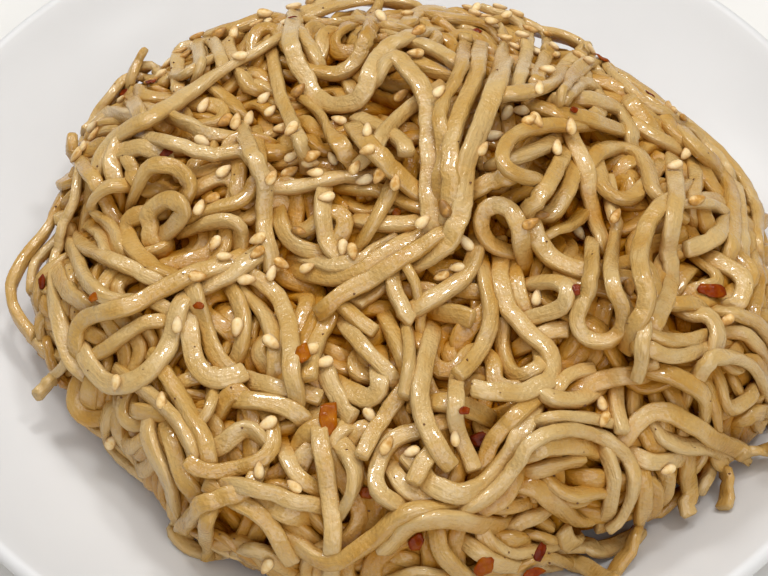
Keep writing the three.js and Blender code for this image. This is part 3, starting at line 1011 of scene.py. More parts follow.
def makeCore():  # stands in for the noodles too deep to be seen; its material paints them as in shade
    bm = bmesh.new()
    bmesh.ops.create_icosphere(bm, subdivisions=5, radius=1)
    s, level = heapShape, heapShape["coreLevel"]
    p = np.array([v.co for v in bm.verts])
    p = p * np.array([s["halfWidth"] + level, s["halfDepth"] + level, s["crown"] + level])
    p[:, 2] += s["bulge"]
    p = toLevel(p, level, 8)
    p[:, 2] = np.maximum(p[:, 2], plateTop(np.hypot(p[:, 0], p[:, 1])) + s["coreGap"])
    for v, place in zip(bm.verts, p):
        v.co = place * mm
    return objectFrom(bm, "heapCore")


noodlePieces = layNoodles()
plate = makePlate()
core = makeCore()
print("plate and core made")


# Small helpers for the materials.

def addNode(tree, kind, settings=(), values=(), links=()):
    node = tree.nodes.new(kind)
    for label, value in settings:
        setattr(node, label, value)
    for label, value in values:
        node.inputs[label].default_value = value
    for label, source in links:
        tree.links.new(source, node.inputs[label])
    return node


def plug(tree, socket, value):  # a number or colour on the socket itself, or another node's output
    if isinstance(value, (int, float)):
        socket.default_value = value
    elif isinstance(value, tuple):
        socket.default_value = (*value, 1)
    else:
        tree.links.new(value, socket)


def mathNode(tree, operation, first, second=None):
    node = addNode(tree, "ShaderNodeMath", (("operation", operation),))
    plug(tree, node.inputs[0], first)
    if second is not None:
        plug(tree, node.inputs[1], second)
    return node.outputs[0]


def rampNode(tree, source, stops):
    node = addNode(tree, "ShaderNodeValToRGB", links=(("Fac", source),))
    ramp = node.color_ramp
    while len(ramp.elements) < len(stops):
        ramp.elements.new(0.5)
    for element, (place, colour) in zip(ramp.elements, stops):
        element.position = place
        element.color = (*colour, 1)
    return node.outputs["Color"]


def greyRamp(tree, source, start, end, low=0, high=1):
    return rampNode(tree, source, ((start, (low,) * 3), (end, (high,) * 3)))


def mixNode(tree, share, first, second):
    node = addNode(tree, "ShaderNodeMix", (("data_type", "RGBA"), ("blend_type", "MIX")))
    plug(tree, node.inputs["Factor"], share)
    for label, value in (("A", first), ("B", second)):
        plug(tree, next(i for i in node.inputs if i.name == label and i.type == "RGBA"), value)
    return next(o for o in node.outputs if o.type == "RGBA")


def attributeNode(tree, name):
    return addNode(tree, "ShaderNodeAttribute", (("attribute_name", name),)).outputs["Fac"]


def noiseNode(tree, place, **settings):
    values = [(label.capitalize(), value) for label, value in settings.items()]
    return addNode(tree, "ShaderNodeTexNoise", values=values, links=(("Vector", place),))


def bumpNode(tree, height, strength, distance):
    return addNode(tree, "ShaderNodeBump", values=(("Strength", strength), ("Distance", distance)),
                   links=(("Height", height),)).outputs["Normal"]


def newMaterial(name, look):  # the material, its tree, and its shader with the look's numbers on it
    mat = bpy.data.materials.new(name)
    mat.use_nodes = True
    tree = mat.node_tree
    shader = tree.nodes["Principled BSDF"]
    for label, value in look["shader"].items():
        plug(tree, shader.inputs[label], value)
    return mat, tree, shader


def objectPlace(tree):
    return addNode(tree, "ShaderNodeTexCoord").outputs["Object"]


def strandPlace():  # a place on the strand that closes on itself round the girth
    group = bpy.data.node_groups.new("strandPlace", "ShaderNodeTree")
    for label in ("Along", "Round"):
        group.interface.new_socket(label, in_out="INPUT", socket_type="NodeSocketFloat").default_value = 1.0
    group.interface.new_socket("Place", in_out="OUTPUT", socket_type="NodeSocketVector")
    enter = group.nodes.new("NodeGroupInput")
    leave = group.nodes.new("NodeGroupOutput")
    uv = addNode(group, "ShaderNodeUVMap", (("uv_map", "strandUV"),))
    parts = addNode(group, "ShaderNodeSeparateXYZ", links=(("Vector", uv.outputs["UV"]),))
    turn = mathNode(group, "MULTIPLY", parts.outputs["Y"], math.tau)
    x = mathNode(group, "MULTIPLY", mathNode(group, "COSINE", turn), enter.outputs["Round"])
    y = mathNode(group, "MULTIPLY", mathNode(group, "SINE", turn), enter.outputs["Round"])
    z = mathNode(group, "MULTIPLY", parts.outputs["X"], enter.outputs["Along"])
    joined = addNode(group, "ShaderNodeCombineXYZ", links=(("X", x), ("Y", y), ("Z", z)))
    group.links.new(joined.outputs["Vector"], leave.inputs["Place"])
    return group


noodleLook = {
    "pale": (0.595, 0.41, 0.17),
    "mid": (0.53, 0.32, 0.09),
    "dark": (0.46, 0.24, 0.042),
    "stainAndShadeBrown": (0.44, 0.178, 0.008),  # painted shade and stains: the brown laid on where less light comes down, and in random patches
    "deepShadeBrown": (0.36, 0.075, 0.002),  # painted shade, darker still, where the least light comes down
    "stops": (0.1, 0.45, 0.9),
    "toneShare": 0.7,
    "cloudMiddle": 0.38,
    "cloudShare": 1.6,
    "stainShare": 0.5,
    "stainStart": 0.75,
    "stainAndShadeEnd": 0.55,
    "deepShadeRange": (0.5, 0.95),
    # patterns: how close along a strand, how close round it, and their detail
    "clouds": (1.2, 0.4, 3.0),
    "stains": (3.5, 1.1, 3.0),
    "lumps": (3.0, 4.2, 2.0),
    "wrinkles": (15.0, 3.0, 1.0),
    "beads": (13.0, 2.1),
    "beadShare": 0.35,
    "wrinkleShare": 0.9,
    "ridges": 0.38,
    "ridgeHeight": 0.0007,
    "shine": (0.36, 0.54),  # the wet shine breaks up over the ridges between these two heights
    "shineAngle": (0.25, 0.6),  # and fades where a strand turns away
    "shineLeast": 0.1,
    "clearOfStainAndShadeStart": 1.15,
    "specular": 0.5,
    "shader": {"Coat Roughness": 0.07, "Coat IOR": 1.58, "Roughness": 0.2, "IOR": 1.38},
}


def noodleMaterial():
    look = noodleLook
    mat, tree, shader = newMaterial("noodle", look)
    group = strandPlace()

    def placed(along, around):
        values = (("Along", along), ("Round", around))
        return addNode(tree, "ShaderNodeGroup", (("node_tree", group),), values).outputs["Place"]

    def noise(label):
        along, around, detail = look[label]
        place = placed(along, around)
        return noiseNode(tree, place, scale=1.0, detail=detail, roughness=0.6).outputs["Fac"]

    def calc(operation, first, second):
        return mathNode(tree, operation, first, second)

    tone = calc("MULTIPLY", attributeNode(tree, "strandTone"), look["toneShare"])
    cloud = calc("SUBTRACT", noise("clouds"), look["cloudMiddle"])
    paleness = calc("ADD", tone, calc("MULTIPLY", cloud, look["cloudShare"]))
    colour = rampNode(tree, paleness, list(zip(look["stops"], (look["dark"], look["mid"], look["pale"]))))
    # Painted shade: the browns below go on where the light worked out for each vertex (strandLight) is low,
    # and the stain noise adds random patches of the same brown.
    stain = calc("ADD", calc("MULTIPLY", noise("stains"), look["stainShare"]), look["stainStart"])
    shade = calc("SUBTRACT", stain, attributeNode(tree, "strandLight"))
    stainAndShade = greyRamp(tree, shade, 0.0, look["stainAndShadeEnd"])
    colour = mixNode(tree, stainAndShade, colour, look["stainAndShadeBrown"])
    # Painted shade: the darkest brown where the least light comes down.
    colour = mixNode(tree, greyRamp(tree, shade, *look["deepShadeRange"]), colour, look["deepShadeBrown"])
    tree.links.new(colour, shader.inputs["Base Color"])

    place = placed(*look["beads"])
    beads = addNode(tree, "ShaderNodeTexVoronoi", values=(("Scale", 1.0),), links=(("Vector", place),))
    beads = calc("MULTIPLY", beads.outputs["Distance"], look["beadShare"])
    wrinkles = noise("wrinkles")
    height = calc("SUBTRACT", noise("lumps"), beads)
    height = calc("ADD", height, calc("MULTIPLY", wrinkles, look["wrinkleShare"]))
    tree.links.new(bumpNode(tree, height, look["ridges"], look["ridgeHeight"]), shader.inputs["Normal"])
    # The wet shine and the specular are turned down in that painted shade and stain.
    wet = calc("MULTIPLY", greyRamp(tree, wrinkles, *look["shine"]), calc("SUBTRACT", 1.0, stainAndShade))
    facing = addNode(tree, "ShaderNodeLayerWeight", values=(("Blend", 0.5),)).outputs["Facing"]
    wet = calc("MULTIPLY", wet, greyRamp(tree, facing, *look["shineAngle"], 1, look["shineLeast"]))
    tree.links.new(wet, shader.inputs["Coat Weight"])
    clearOfStainAndShade = calc("SUBTRACT", look["clearOfStainAndShadeStart"], stainAndShade)
    tree.links.new(calc("MULTIPLY", clearOfStainAndShade, look["specular"]), shader.inputs["Specular IOR Level"])
    return mat


glazeLook = {
    "dark": (0.66, 0.66, 0.665),
    "pale": (0.69, 0.69, 0.695),
    "clouds": 35.0,
    "ripples": 90.0,
    "ripple": (0.06, 0.001),
    "shader": {"Roughness": 0.5, "Specular IOR Level": 0.3, "Coat Weight": 0.1, "Coat Roughness": 0.2},
}


def glazeMaterial():
    mat, tree, shader = newMaterial("glaze", glazeLook)
    place = objectPlace(tree)
    cloud = noiseNode(tree, place, scale=glazeLook["clouds"], detail=3.0, roughness=0.5).outputs["Fac"]
    colour = rampNode(tree, cloud, ((0.3, glazeLook["dark"]), (0.7, glazeLook["pale"])))
    tree.links.new(colour, shader.inputs["Base Color"])
    ripple = noiseNode(tree, place, scale=glazeLook["ripples"], detail=2.0).outputs["Fac"]
    tree.links.new(bumpNode(tree, ripple, *glazeLook["ripple"]), shader.inputs["Normal"])
    return mat


# The core's colour is painted shade: noodles deep in shadow, darkest in the grooves of its folds.
coreLook = {
    "shadedGroove": (0.10, 0.018, 0.001),
    "shadedCrest": (0.32, 0.085, 0.004),
    "wander": (0.02, 0.02, 0.02),
    "wanderScale": 90.0,
    "folds": (("Scale", 60.0), ("Distortion", 3.0), ("Detail", 1.0)),
    "depth": (1.0, 0.002),
    "shader": {"Roughness": 0.5},
}


def coreMaterial():
    mat, tree, shader = newMaterial("deepNoodlePaintedShade", coreLook)
    place = objectPlace(tree)
    drift = noiseNode(tree, place, scale=coreLook["wanderScale"], detail=1.0)
    pushed = addNode(tree, "ShaderNodeVectorMath", (("operation", "MULTIPLY_ADD"),),
                     ((1, coreLook["wander"]),), ((0, drift.outputs["Color"]), (2, place)))
    folds = addNode(tree, "ShaderNodeTexWave", (("bands_direction", "DIAGONAL"),), coreLook["folds"],
                    (("Vector", pushed.outputs[0]),)).outputs["Fac"]
    colour = rampNode(tree, folds, ((0.1, coreLook["shadedGroove"]), (0.9, coreLook["shadedCrest"])))
    tree.links.new(colour, shader.inputs["Base Color"])
    tree.links.new(bumpNode(tree, folds, *coreLook["depth"]), shader.inputs["Normal"])
    return mat


spiceLook = {"shader": {"Base Color": (0.15, 0.055, 0.015), "Roughness": 0.5}}
floorLook = {"shader": {"Base Color": (0.75, 0.74, 0.72), "Roughness": 0.7}}

noodleMat = noodleMaterial()
for piece in noodlePieces:
    piece.data.materials.append(noodleMat)
plate.data.materials.append(glazeMaterial())
core.data.materials.append(coreMaterial())
for piece in (*noodlePieces, core):
    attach(piece, "root")
    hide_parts("noodle_heap")
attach(plate, "root")
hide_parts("plate")

# The toppings lie where the eye picks them out, and at random round the back.
eyeSpot = Vector(eyePlace * mm)
scatter = {
    # the rays that feel for noodles round each place, in shares of a topping's reach
    "around": ((0, 0), (1, 0), (-1, 0), (0, 1), (0, -1), (0.7, 0.7), (-0.7, 0.7), (0.7, -0.7), (-0.7, -0.7)),
    "leastHits": 4,  # a topping that fewer of them find noodles for is left out
    "tries": 4000,  # for the random ones
    "startHeight": 30.0,
    "above": 25,  # how far over the heap their rays start
    "seenFrom": 0.3,  # places that face the eye more than this are left to the list
    "backFrom": 10,  # and in front of this line most others too
    "frontSkip": 0.8,
    "lean": (0.4, 0.5),  # towards the heap's way out, and towards the eye
}


def rayToNoodle(start, way):
    graph = bpy.context.evaluated_depsgraph_get()
    hit, place, normal, _, obj, _ = bpy.context.scene.ray_cast(graph, start, Vector(way))
    return (place, normal) if hit and obj.name.startswith("noodles") else None


def restingPlaces(seen, extra, seed):  # each a place, the noodle's way out there and the ray that met it
    s = scatter
    found = []
    for across, up, reach in seen:
        rays = (eyeRays([across + a * reach], [up + b * reach])[0] for a, b in s["around"])
        met = [rayToNoodle(eyeSpot, ray) for ray in rays]
        hits = [((hit[0] - eyeSpot).length, hit[1]) for hit in met if hit]
        if len(hits) < s["leastHits"]:
            found.append(None)
            continue
        normal = sum((n for _, n in hits), Vector()).normalized()
        far = sorted(h[0] for h in hits)[len(hits) // 4]
        ray = Vector(eyeRays([across], [up])[0])
        found.append((eyeSpot + ray * far, normal, ray))
    rng = np.random.default_rng(seed)
    tries = 0
    while extra > 0 and tries < s["tries"]:
        tries += 1
        angle = rng.uniform(0, math.tau)
        reach = math.sqrt(rng.uniform(0, 1)) * float(outlineShare(np.array([angle]))[0])
        x = heapShape["centre"][0] + heapShape["halfWidth"] * reach * math.cos(angle)
        y = heapShape["centre"][1] + heapShape["halfDepth"] * reach * math.sin(angle)
        aim = toLevel(np.array([[x, y, s["startHeight"]]]), 0.0, 12)
        out = heapOutside(aim)[1][0]
        facing = float(np.dot(out, (eyePlace - aim[0]) / np.linalg.norm(eyePlace - aim[0])))
        if facing > s["seenFrom"] or (y < s["backFrom"] and rng.uniform() < s["frontSkip"]):
            continue
        hit = rayToNoodle(Vector((aim[0] + out * s["above"]) * mm), -out)
        if hit:
            found.append((*hit, Vector(-out)))
            extra -= 1
    return found


def restingAxes(place, normal, ray, firm, turn):  # which way a small thing points, and its upper side
    if normal.dot(ray) > 0:
        normal = -normal
    outlook = Vector(heapOutside(np.array([place]) / mm)[1][0])
    up = (normal * firm + outlook * scatter["lean"][0] - ray * scatter["lean"][1]).normalized()
    flat = Vector(eyeRight) * math.cos(turn) + Vector(eyeUp) * math.sin(turn)
    return (flat - up * flat.dot(up)).normalized(), up


def setDown(local, place, lift, along, up):  # a small thing's points at its place, in metres
    centre = np.array(place) / mm + np.array(up) * lift
    return (centre + local[:, :1] * np.array(along) + local[:, 1:2] * np.array(up.cross(along))
            + local[:, 2:] * np.array(up)) * mm


def joinCopies(name, copies):  # one mesh from (points, faces, tone, rim) copies
    verts, faces, tones, rims = [], [], [], []
    for points, shape, tone, rim in copies:
        start = len(verts)
        verts += [tuple(p) for p in points]
        faces += [tuple(start + i for i in f) for f in shape]
        tones += [tone] * len(points)
        rims += list(rim)
    mesh = bpy.data.meshes.new(name)
    mesh.from_pydata(verts, [], faces)
    mesh.polygons.foreach_set("use_smooth", np.ones(len(faces), bool))
    addValues(mesh, "pieceTone", tones)
    addValues(mesh, "pieceRim", rims)
    mesh.validate()
    print(name + ":", len(copies))
    return newObject(name, mesh)


seedShape = {
    "length": 3.25,
    "width": 2.05,
    "thickness": 1.2,
    "sunk": 0.25,  # how far it sinks into the oil under it
    "sides": 8,
    # along the seed from its pointed end, and how wide it is there
    "outline": ((-0.5, 0.0), (-0.46, 0.25), (-0.33, 0.57), (-0.1, 0.88), (0.14, 1.0), (0.33, 0.87),
                (0.46, 0.47), (0.5, 0.0)),
    "roundness": 0.8,  # of its thickness towards the ends
    "dish": 0.12,  # both ends bend up a little
    "tipLength": 0.3,  # share of the seed that is browned at the point
    "edgeReach": 1.7,  # its edge is browned too, the more the lower this is
    "edgeTone": 0.7,
    "firm": 0.5,  # how closely it follows the noodle under it
    "reach": 1.1,
    "extra": 52,  # more of them at random
    "extraTone": (0.32, 0.2),
    # how much seeds differ
    "size": (0.88, 1.1),
    "plump": (0.9, 1.15),
    "wide": (0.92, 1.06),
}

# Sesame seeds as the eye meets them: across, up, how toasted from 0 to 1, turn in degrees.
seedsSeen = (
    (-28.3, 54.5, 0.2, 60), (-23.8, 54.8, 0.3, 0), (-32.8, 50.8, 0.8, 30), (-30, 51, 0.3, 80),
    (-29, 46.3, 0.2, 5), (-36, 36.5, 0.1, 60), (-31.8, 33.3, 0.7, 40), (-29.5, 33.2, 0.3, 80),
    (-27, 34, 0.2, 70), (-24, 38, 0.1, 45), (-22.7, 35.3, 0.15, 50), (-20.5, 31.8, 0.4, 10),
    (-18.5, 31.5, 0.3, 60), (-36.3, 29.3, 0.1, 150), (-32, 23.3, 0.15, 40), (-34.3, 17.8, 0.6, 20),
    (-36.8, 16, 0.2, 70), (-17, 39.3, 0.75, 50), (-18.5, 26.2, 0.2, 30), (-14.5, 26.4, 0.6, 20),
    (-14.8, 25, 0.35, 0), (-18.8, 23, 0.5, 30), (-13.8, 23, 0.3, 0), (-22.5, 22, 0.4, 60),
    (-17, 11.3, 0.9, 160), (-25.2, 9.8, 0.3, 20), (-11.6, 18.1, 0.15, 20), (-0.5, 54, 0.1, 120),
    (6.8, 51.3, 0.7, 40), (6.3, 46.7, 0.4, 0), (3.5, 38.5, 0.55, 40), (11, 39.2, 0.2, 50),
    (-9, 33.5, 0.2, 160), (-3.3, 31.5, 0.3, 90), (-3.3, 27.5, 0.4, 20), (-10.3, 25.8, 0.2, 120),
    (-5.8, 24, 0.35, 60), (-4, 21.5, 0.1, 20), (-1, 22.5, 0.55, 60), (2.3, 21, 0.4, 80),
    (7.8, 13.2, 0.15, 40), (12.2, 15.8, 1.0, 110), (18.3, 55.8, 0.2, 60), (21.5, 53.3, 0.3, 0),
    (24.3, 54.5, 0.2, 30), (22, 30.4, 0.05, 10), (19.8, 27.8, 0.3, 60), (19.7, 25, 0.65, 90),
    (24.5, 34.8, 0.2, 60), (27.5, 35.5, 0.2, 0), (29, 33.5, 0.5, 30), (30.5, 33.5, 0.45, 120),
    (31, 40, 0.3, 80), (32.5, 43.5, 0.2, 0), (37.3, 32.3, 0.3, 90), (58, 24.3, 0.2, 30),
    (60.3, 26.8, 0.2, 50), (62.5, 17.5, 0.55, 20), (46.3, 14.3, 0.6, 60), (39, 11, 0.15, 120),
    (34.5, 28, 0.15, 80), (29.3, 12.8, 0.6, 30), (31.5, 14.5, 0.9, 0), (16.3, 9, 0.15, 130),
    (-33.8, 8.8, 0.3, 60), (-31.8, 6.2, 0.2, 0), (-37.3, 2.3, 0.55, 0), (-27.5, 1.7, 0.25, 0),
    (-25.3, 7, 0.6, 40), (-20.5, 4.8, 0.5, 150), (-15.3, 4, 0.2, 20), (-22.5, 3, 0.1, 70),
    (-29.3, -8, 0.2, 85), (-22.5, -11, 0.2, 140), (-41.3, -7.3, 0.15, 85), (-53.5, -19, 0.3, 80),
    (-44.5, -22.5, 0.3, 90), (-14.8, -12.5, 0.25, 20), (-8.3, 8, 0.2, 85), (-6.3, 7.2, 0.5, 100),
    (11.5, 2.3, 0.45, 20), (14.5, 4, 0.2, 10), (-12, -15, 0.2, 20), (30.6, -2, 0.1, 85),
    (49, 0, 0.7, 90), (68.5, -6.5, 0.5, 30), (-54.5, -30.7, 0.3, 60), (-23.2, -27.2, 0.2, 30),
    (-25, -36.5, 0.2, 90), (-18, -39.7, 0.3, 140), (-23.4, -55.5, 0.3, 60), (-2.8, -25.5, 0.15, 120),
    (5.5, -32.8, 0.2, 20), (0.6, -31.5, 0.4, 60), (14.2, -30, 0.2, 95), (44, -26.3, 0.5, 60),
    (43.5, -23, 0.3, 100), (56.7, -36.3, 0.2, 20),
)


def pebbleShape(sides, girth):  # a closed pebble along X from a list of girths, poles at both ends
    turns = np.arange(sides) / sides * math.tau
    points, faces = [(girth[0][0], 0, 0)], []
    for x, wide, thick in girth[1:-1]:
        points += [(x, wide * math.cos(t), thick * math.sin(t)) for t in turns]
    points.append((girth[-1][0], 0, 0))
    rows = len(girth) - 2
    for k in range(sides):
        n = (k + 1) % sides
        faces.append((0, 1 + n, 1 + k))
        for r in range(rows - 1):
            base = 1 + r * sides
            faces.append((base + k, base + n, base + sides + n, base + sides + k))
        base = 1 + (rows - 1) * sides
        faces.append((base + k, base + n, len(points) - 1))
    return np.array(points), faces


def makeSeeds():
    s = seedShape
    outline = [(x * s["length"], share * s["width"] / 2, share ** s["roundness"] * s["thickness"] / 2)
               for x, share in s["outline"]]
    shape, faces = pebbleShape(s["sides"], outline)
    tip = np.clip(1 - (shape[:, 0] / s["length"] + 0.5) / s["tipLength"], 0, 1)
    sideways = np.abs(shape[:, 1]) / (np.hypot(shape[:, 1], shape[:, 2] * s["edgeReach"]) + 1e-6)
    rim = np.maximum(tip, sideways ** 4 * s["edgeTone"])
    rng = np.random.default_rng(61)
    copies = []
    places = restingPlaces([(*seed[:2], s["reach"]) for seed in seedsSeen], s["extra"], 62)
    for k, found in enumerate(places):
        if found is None:
            continue
        if k < len(seedsSeen):
            tone, turn = seedsSeen[k][2], math.radians(seedsSeen[k][3])
        else:
            tone, turn = float(np.clip(rng.normal(*s["extraTone"]), 0, 1)), rng.uniform(0, math.tau)
        along, up = restingAxes(*found, s["firm"], turn)
        if rng.uniform() < 0.5:
            along = -along
        size = rng.uniform(*s["size"])
        plump = rng.uniform(*s["plump"])
        local = shape * np.array([size, size * rng.uniform(*s["wide"]), size * plump])
        local[:, 2] += s["dish"] * (local[:, 0] / s["length"]) ** 2 * s["length"]
        lift = s["thickness"] / 2 * size * plump - s["sunk"]
        copies.append((setDown(local, found[0], lift, along, up), faces, tone, rim))
    return joinCopies("sesameSeeds", copies)


def speckledMaterial(name, look):  # colour by how toasted or red a piece is, with spots, and a darker rim
    mat, tree, shader = newMaterial(name, look)
    tone = attributeNode(tree, "pieceTone")
    spots = noiseNode(tree, objectPlace(tree), scale=look["spots"], detail=3.0).outputs["Fac"]
    uneven = mathNode(tree, "MULTIPLY", mathNode(tree, "SUBTRACT", spots, 0.5), look["unevenness"])
    colour = rampNode(tree, mathNode(tree, "ADD", tone, uneven), look["colours"])
    if "rim" in look:
        rim = mathNode(tree, "MULTIPLY", attributeNode(tree, "pieceRim"), look["rimShare"])
        colour = mixNode(tree, rim, colour, look["rim"])
    tree.links.new(colour, shader.inputs["Base Color"])
    bump = bumpNode(tree, spots, *look["bump"])
    for label in look["bumped"]:
        tree.links.new(bump, shader.inputs[label])
    return mat


seedLook = {
    "spots": 900.0,
    "unevenness": 1.3,
    "colours": ((0.0, (0.88, 0.71, 0.42)), (0.35, (0.80, 0.56, 0.24)),
                (0.62, (0.56, 0.28, 0.05)), (1.0, (0.24, 0.115, 0.022))),
    "rim": (0.40, 0.19, 0.05),
    "rimShare": 0.85,
    "bump": (0.3, 0.0002),
    "bumped": ("Normal",),
    "shader": {"Roughness": 0.45, "Specular IOR Level": 0.3, "Coat Weight": 0.15, "Coat Roughness": 0.15},
}

flakeShape = {
    "sides": 14,
    "rings": 4,
    "corners": 5,
    "cornerShift": 0.3,  # how far those stray from even turns
    "cuts": (0.72, 1.0),  # how near the middle each side is torn
    "leastFacing": 0.35,  # keeps the corners from running out into spikes
    "ragged": 0.04,
    "thickness": 0.26,
    "edge": 0.45,  # thinner at its edge
    "curl": (-0.05, 0.16),  # across it
    "bow": 0.03,  # and along it
    "ripples": ((2.6, 0.09), (3.4, 0.07)),  # how close they are and how high
    "firm": 0.6,
    "lift": 0.3,
    "extra": 7,
    "length": (1.6, 4.2),
    "shares": (0.5, 0.85),
    "tones": (0.3, 1),
    "reach": 0.45,
}

# Flakes of chili as the eye meets them: across, up, length, width, redness from 0 to 1, turn in degrees.
flakesSeen = (
    (65.5, -0.5, 6.2, 3.0, 0.75, 0), (-16.3, -13, 4.0, 2.6, 0.35, 90), (-11.2, -26.3, 6.4, 3.8, 0.4, 80),
    (19, -30.3, 3.6, 2.8, 0.9, 20), (-3.3, -41, 3.4, 2.2, 0.7, 0), (6.5, -50.8, 3.2, 2.4, 0.7, 40),
    (20, -55.5, 4.2, 3.2, 0.55, 30), (31, -53, 3.6, 2.2, 0.95, 60), (29.5, -57, 3.8, 2.8, 0.7, 0),
    (38.5, -0.5, 2.4, 1.6, 0.9, 90), (38, 35.5, 1.8, 1.3, 0.8, 0), (-52, 39, 2.2, 1.5, 0.9, 50),
    (-43.5, 27, 2.6, 1.8, 0.9, 20), (-68.4, 1.3, 3.0, 1.6, 0.85, 80), (-37, -3.5, 2.0, 1.4, 0.6, 0),
    (2.5, 15, 2.2, 1.4, 0.4, 30), (-58, -2, 2.2, 1.6, 0.45, 45), (16, -24.5, 2.0, 1.5, 0.8, 0),
)


def flakeFaces():  # two sheets of rings round a middle point, and a band that closes their edge
    sides, rings = flakeShape["sides"], flakeShape["rings"]
    faces = []
    for way, start in ((1, 0), (-1, 1 + rings * sides)):
        for a in range(sides):
            n = (a + 1) % sides
            faces.append((start, start + 1 + a, start + 1 + n)[::way])
            for r in range(rings - 1):
                base = start + 1 + r * sides
                faces.append((base + a, base + sides + a, base + sides + n, base + n)[::way])
    top, low = 1 + (rings - 1) * sides, 2 + rings * sides + (rings - 1) * sides
    faces += [(top + a, low + a, low + (a + 1) % sides, top + (a + 1) % sides) for a in range(sides)]
    return faces


def flakePoints(length, width, outline):
    s = flakeShape
    angles = np.arange(s["sides"]) / s["sides"] * math.tau
    points = []
    for lift in (s["thickness"] / 2, -s["thickness"] / 2):
        points.append((0, 0, lift))
        for r in range(1, s["rings"] + 1):
            share = r / s["rings"]
            high = lift * (1 if r < s["rings"] else s["edge"])
            points += [(math.cos(a) * e * share * length / 2, math.sin(a) * e * share * width / 2, high)
                       for a, e in zip(angles, outline)]
    return np.array(points, dtype=float)


def makeFlakes():
    s = flakeShape
    rng = np.random.default_rng(71)
    faces = flakeFaces()
    angles = np.arange(s["sides"]) / s["sides"] * math.tau
    copies = []
    places = restingPlaces([(*flake[:2], flake[3] * s["reach"]) for flake in flakesSeen], s["extra"], 72)
    for k, found in enumerate(places):
        if found is None:
            continue
        if k < len(flakesSeen):
            length, width, tone, turn = flakesSeen[k][2:]
            turn = math.radians(turn)
        else:
            length = rng.uniform(*s["length"])
            width = length * rng.uniform(*s["shares"])
            tone, turn = rng.uniform(*s["tones"]), rng.uniform(0, math.tau)
        along, up = restingAxes(*found, s["firm"], turn)
        shifts = rng.uniform(-s["cornerShift"], s["cornerShift"], s["corners"])
        torn = (np.arange(s["corners"]) + shifts) / s["corners"] * math.tau + rng.uniform(0, 6)
        outline = (rng.uniform(*s["cuts"], s["corners"])
                   / np.clip(np.cos(angles[:, None] - torn), s["leastFacing"], 1)).min(1)
        outline = outline + rng.normal(0, s["ragged"], s["sides"])
        local = flakePoints(length, width, outline)
        curl = rng.uniform(*s["curl"])
        (acrossRate, acrossSize), (alongRate, alongSize) = s["ripples"]
        local[:, 2] += (-curl * local[:, 1] ** 2 - s["bow"] * local[:, 0] ** 2
                        + acrossSize * np.sin(local[:, 0] * acrossRate + k)
                        + alongSize * np.sin(local[:, 1] * alongRate + 2 * k))
        rim = np.hypot(local[:, 0] / length, local[:, 1] / width) * 2
        copies.append((setDown(local, found[0], s["lift"], along, up), faces, tone, rim))
    return joinCopies("chiliFlakes", copies)


flakeLook = {
    "spots": 700.0,
    "unevenness": 0.9,
    "colours": ((0.1, (0.42, 0.14, 0.002)), (0.45, (0.30, 0.075, 0.001)),
                (0.75, (0.22, 0.030, 0.001)), (1.0, (0.12, 0.012, 0.001))),
    "bump": (0.7, 0.0004),
    "bumped": ("Normal", "Coat Normal"),
    "shader": {"Roughness": 0.25, "Specular IOR Level": 0.05, "Coat Weight": 0.18, "Coat Roughness": 0.05},
}

speckShape = {
    "points": ((1, 0, 0), (-1, 0, 0), (0, 1, 0), (0, -1, 0), (0, 0, 1), (0, 0, -1)),
    "faces": ((0, 2, 4), (2, 1, 4), (1, 3, 4), (3, 0, 4), (2, 0, 5), (1, 2, 5), (3, 1, 5), (0, 3, 5)),
    "across": (-70, 74),
    "up": (-55, 52),
    "count": 90,
    "extra": 50,
    "reach": 0.05,
    "size": (0.12, 0.3),
    "stretch": (0.6, 1.3),
    "dents": (0.8, 1.2),
    "lift": 0.3,  # of its size
}


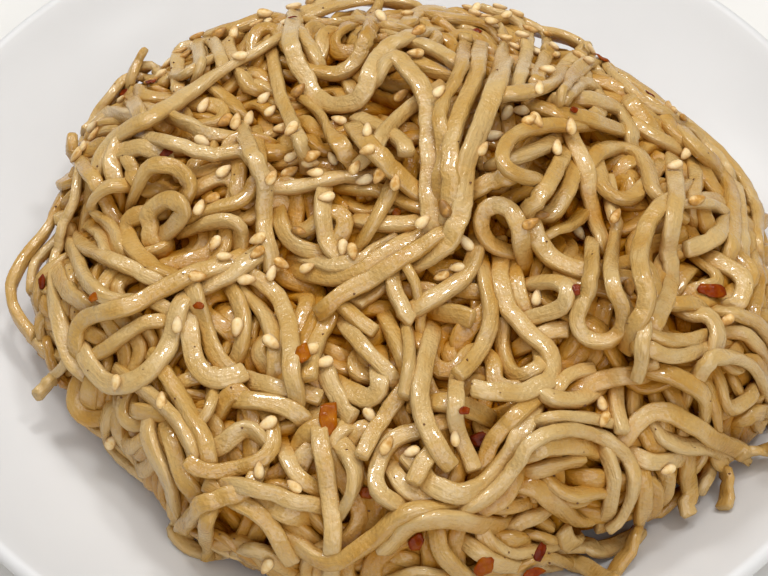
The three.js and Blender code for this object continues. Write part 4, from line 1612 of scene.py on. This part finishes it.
def makeSpecks():  # crumbs of spice stuck to the oil
    s = speckShape
    rng = np.random.default_rng(81)
    seen = [(rng.uniform(*s["across"]), rng.uniform(*s["up"]), s["reach"]) for _ in range(s["count"])]
    copies = []
    for found in restingPlaces(seen, s["extra"], 82):
        if found is None:
            continue
        place, normal, ray = found
        if normal.dot(ray) > 0:
            normal = -normal
        size = rng.uniform(*s["size"])
        stretch = rng.uniform(*s["stretch"], 3)
        dents = rng.uniform(*s["dents"], (len(s["points"]), 1))
        local = np.array(s["points"]) * size * stretch * dents
        centre = np.array(place) / mm + np.array(normal) * size * s["lift"]
        copies.append(((centre + local) * mm, s["faces"], rng.uniform(0, 1), np.zeros(len(s["points"]))))
    return joinCopies("spiceSpecks", copies)


seeds, flakes, specks = makeSeeds(), makeFlakes(), makeSpecks()
seeds.data.materials.append(speckledMaterial("sesame", seedLook))
flakes.data.materials.append(speckledMaterial("chili", flakeLook))
specks.data.materials.append(newMaterial("spice", spiceLook)[0])
for piece in (seeds, flakes, specks):
    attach(piece, "root")
    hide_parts("noodle_heap")

# A pale floor in a studio: two soft lamps, and three small ones for the wet shine.
studio = {
    "floorReach": 3,
    "air": (1.0, 0.97, 0.93),
    "airStrength": 0.16,
    "lamps": (  # name, place, size, power, colour
        ("ceiling", (-0.15, 0.2, 1.0), 1.3, 6.3, (1, 0.985, 0.96)),
        ("window", (-0.35, 0.45, 0.75), 0.14, 2.0, (1, 0.99, 0.97)),
        ("lamp", (0.1, 0.35, 0.95), 0.12, 1.8, (1, 0.99, 0.97)),
        ("bulb", (0.4, 0.1, 0.9), 0.12, 1.5, (1, 0.99, 0.97)),
        ("front", (0.3, -0.9, 0.65), 1.2, 7.6, (1, 0.975, 0.94)),
    ),
}


def makeFloor():
    bm = bmesh.new()
    bmesh.ops.create_grid(bm, x_segments=1, y_segments=1, size=studio["floorReach"])
    floor = objectFrom(bm, "floor", smooth=False)
    floor.data.materials.append(newMaterial("floorPaint", floorLook)[0])


def makeLights():
    world = bpy.data.worlds.new("studio")
    bpy.context.scene.world = world
    world.use_nodes = True
    back = world.node_tree.nodes["Background"]
    back.inputs["Color"].default_value = (*studio["air"], 1)
    back.inputs["Strength"].default_value = studio["airStrength"]
    for name, place, size, power, colour in studio["lamps"]:
        data = bpy.data.lights.new(name, "AREA")
        data.size = size
        data.energy = power
        data.color = colour
        lamp = newObject(name, data)
        lamp.location = place
        lamp.rotation_euler = (-Vector(place)).to_track_quat("-Z", "Y").to_euler()
    bpy.context.scene.view_settings.view_transform = "Standard"


makeFloor()
makeLights()
print("floor and lamps made")
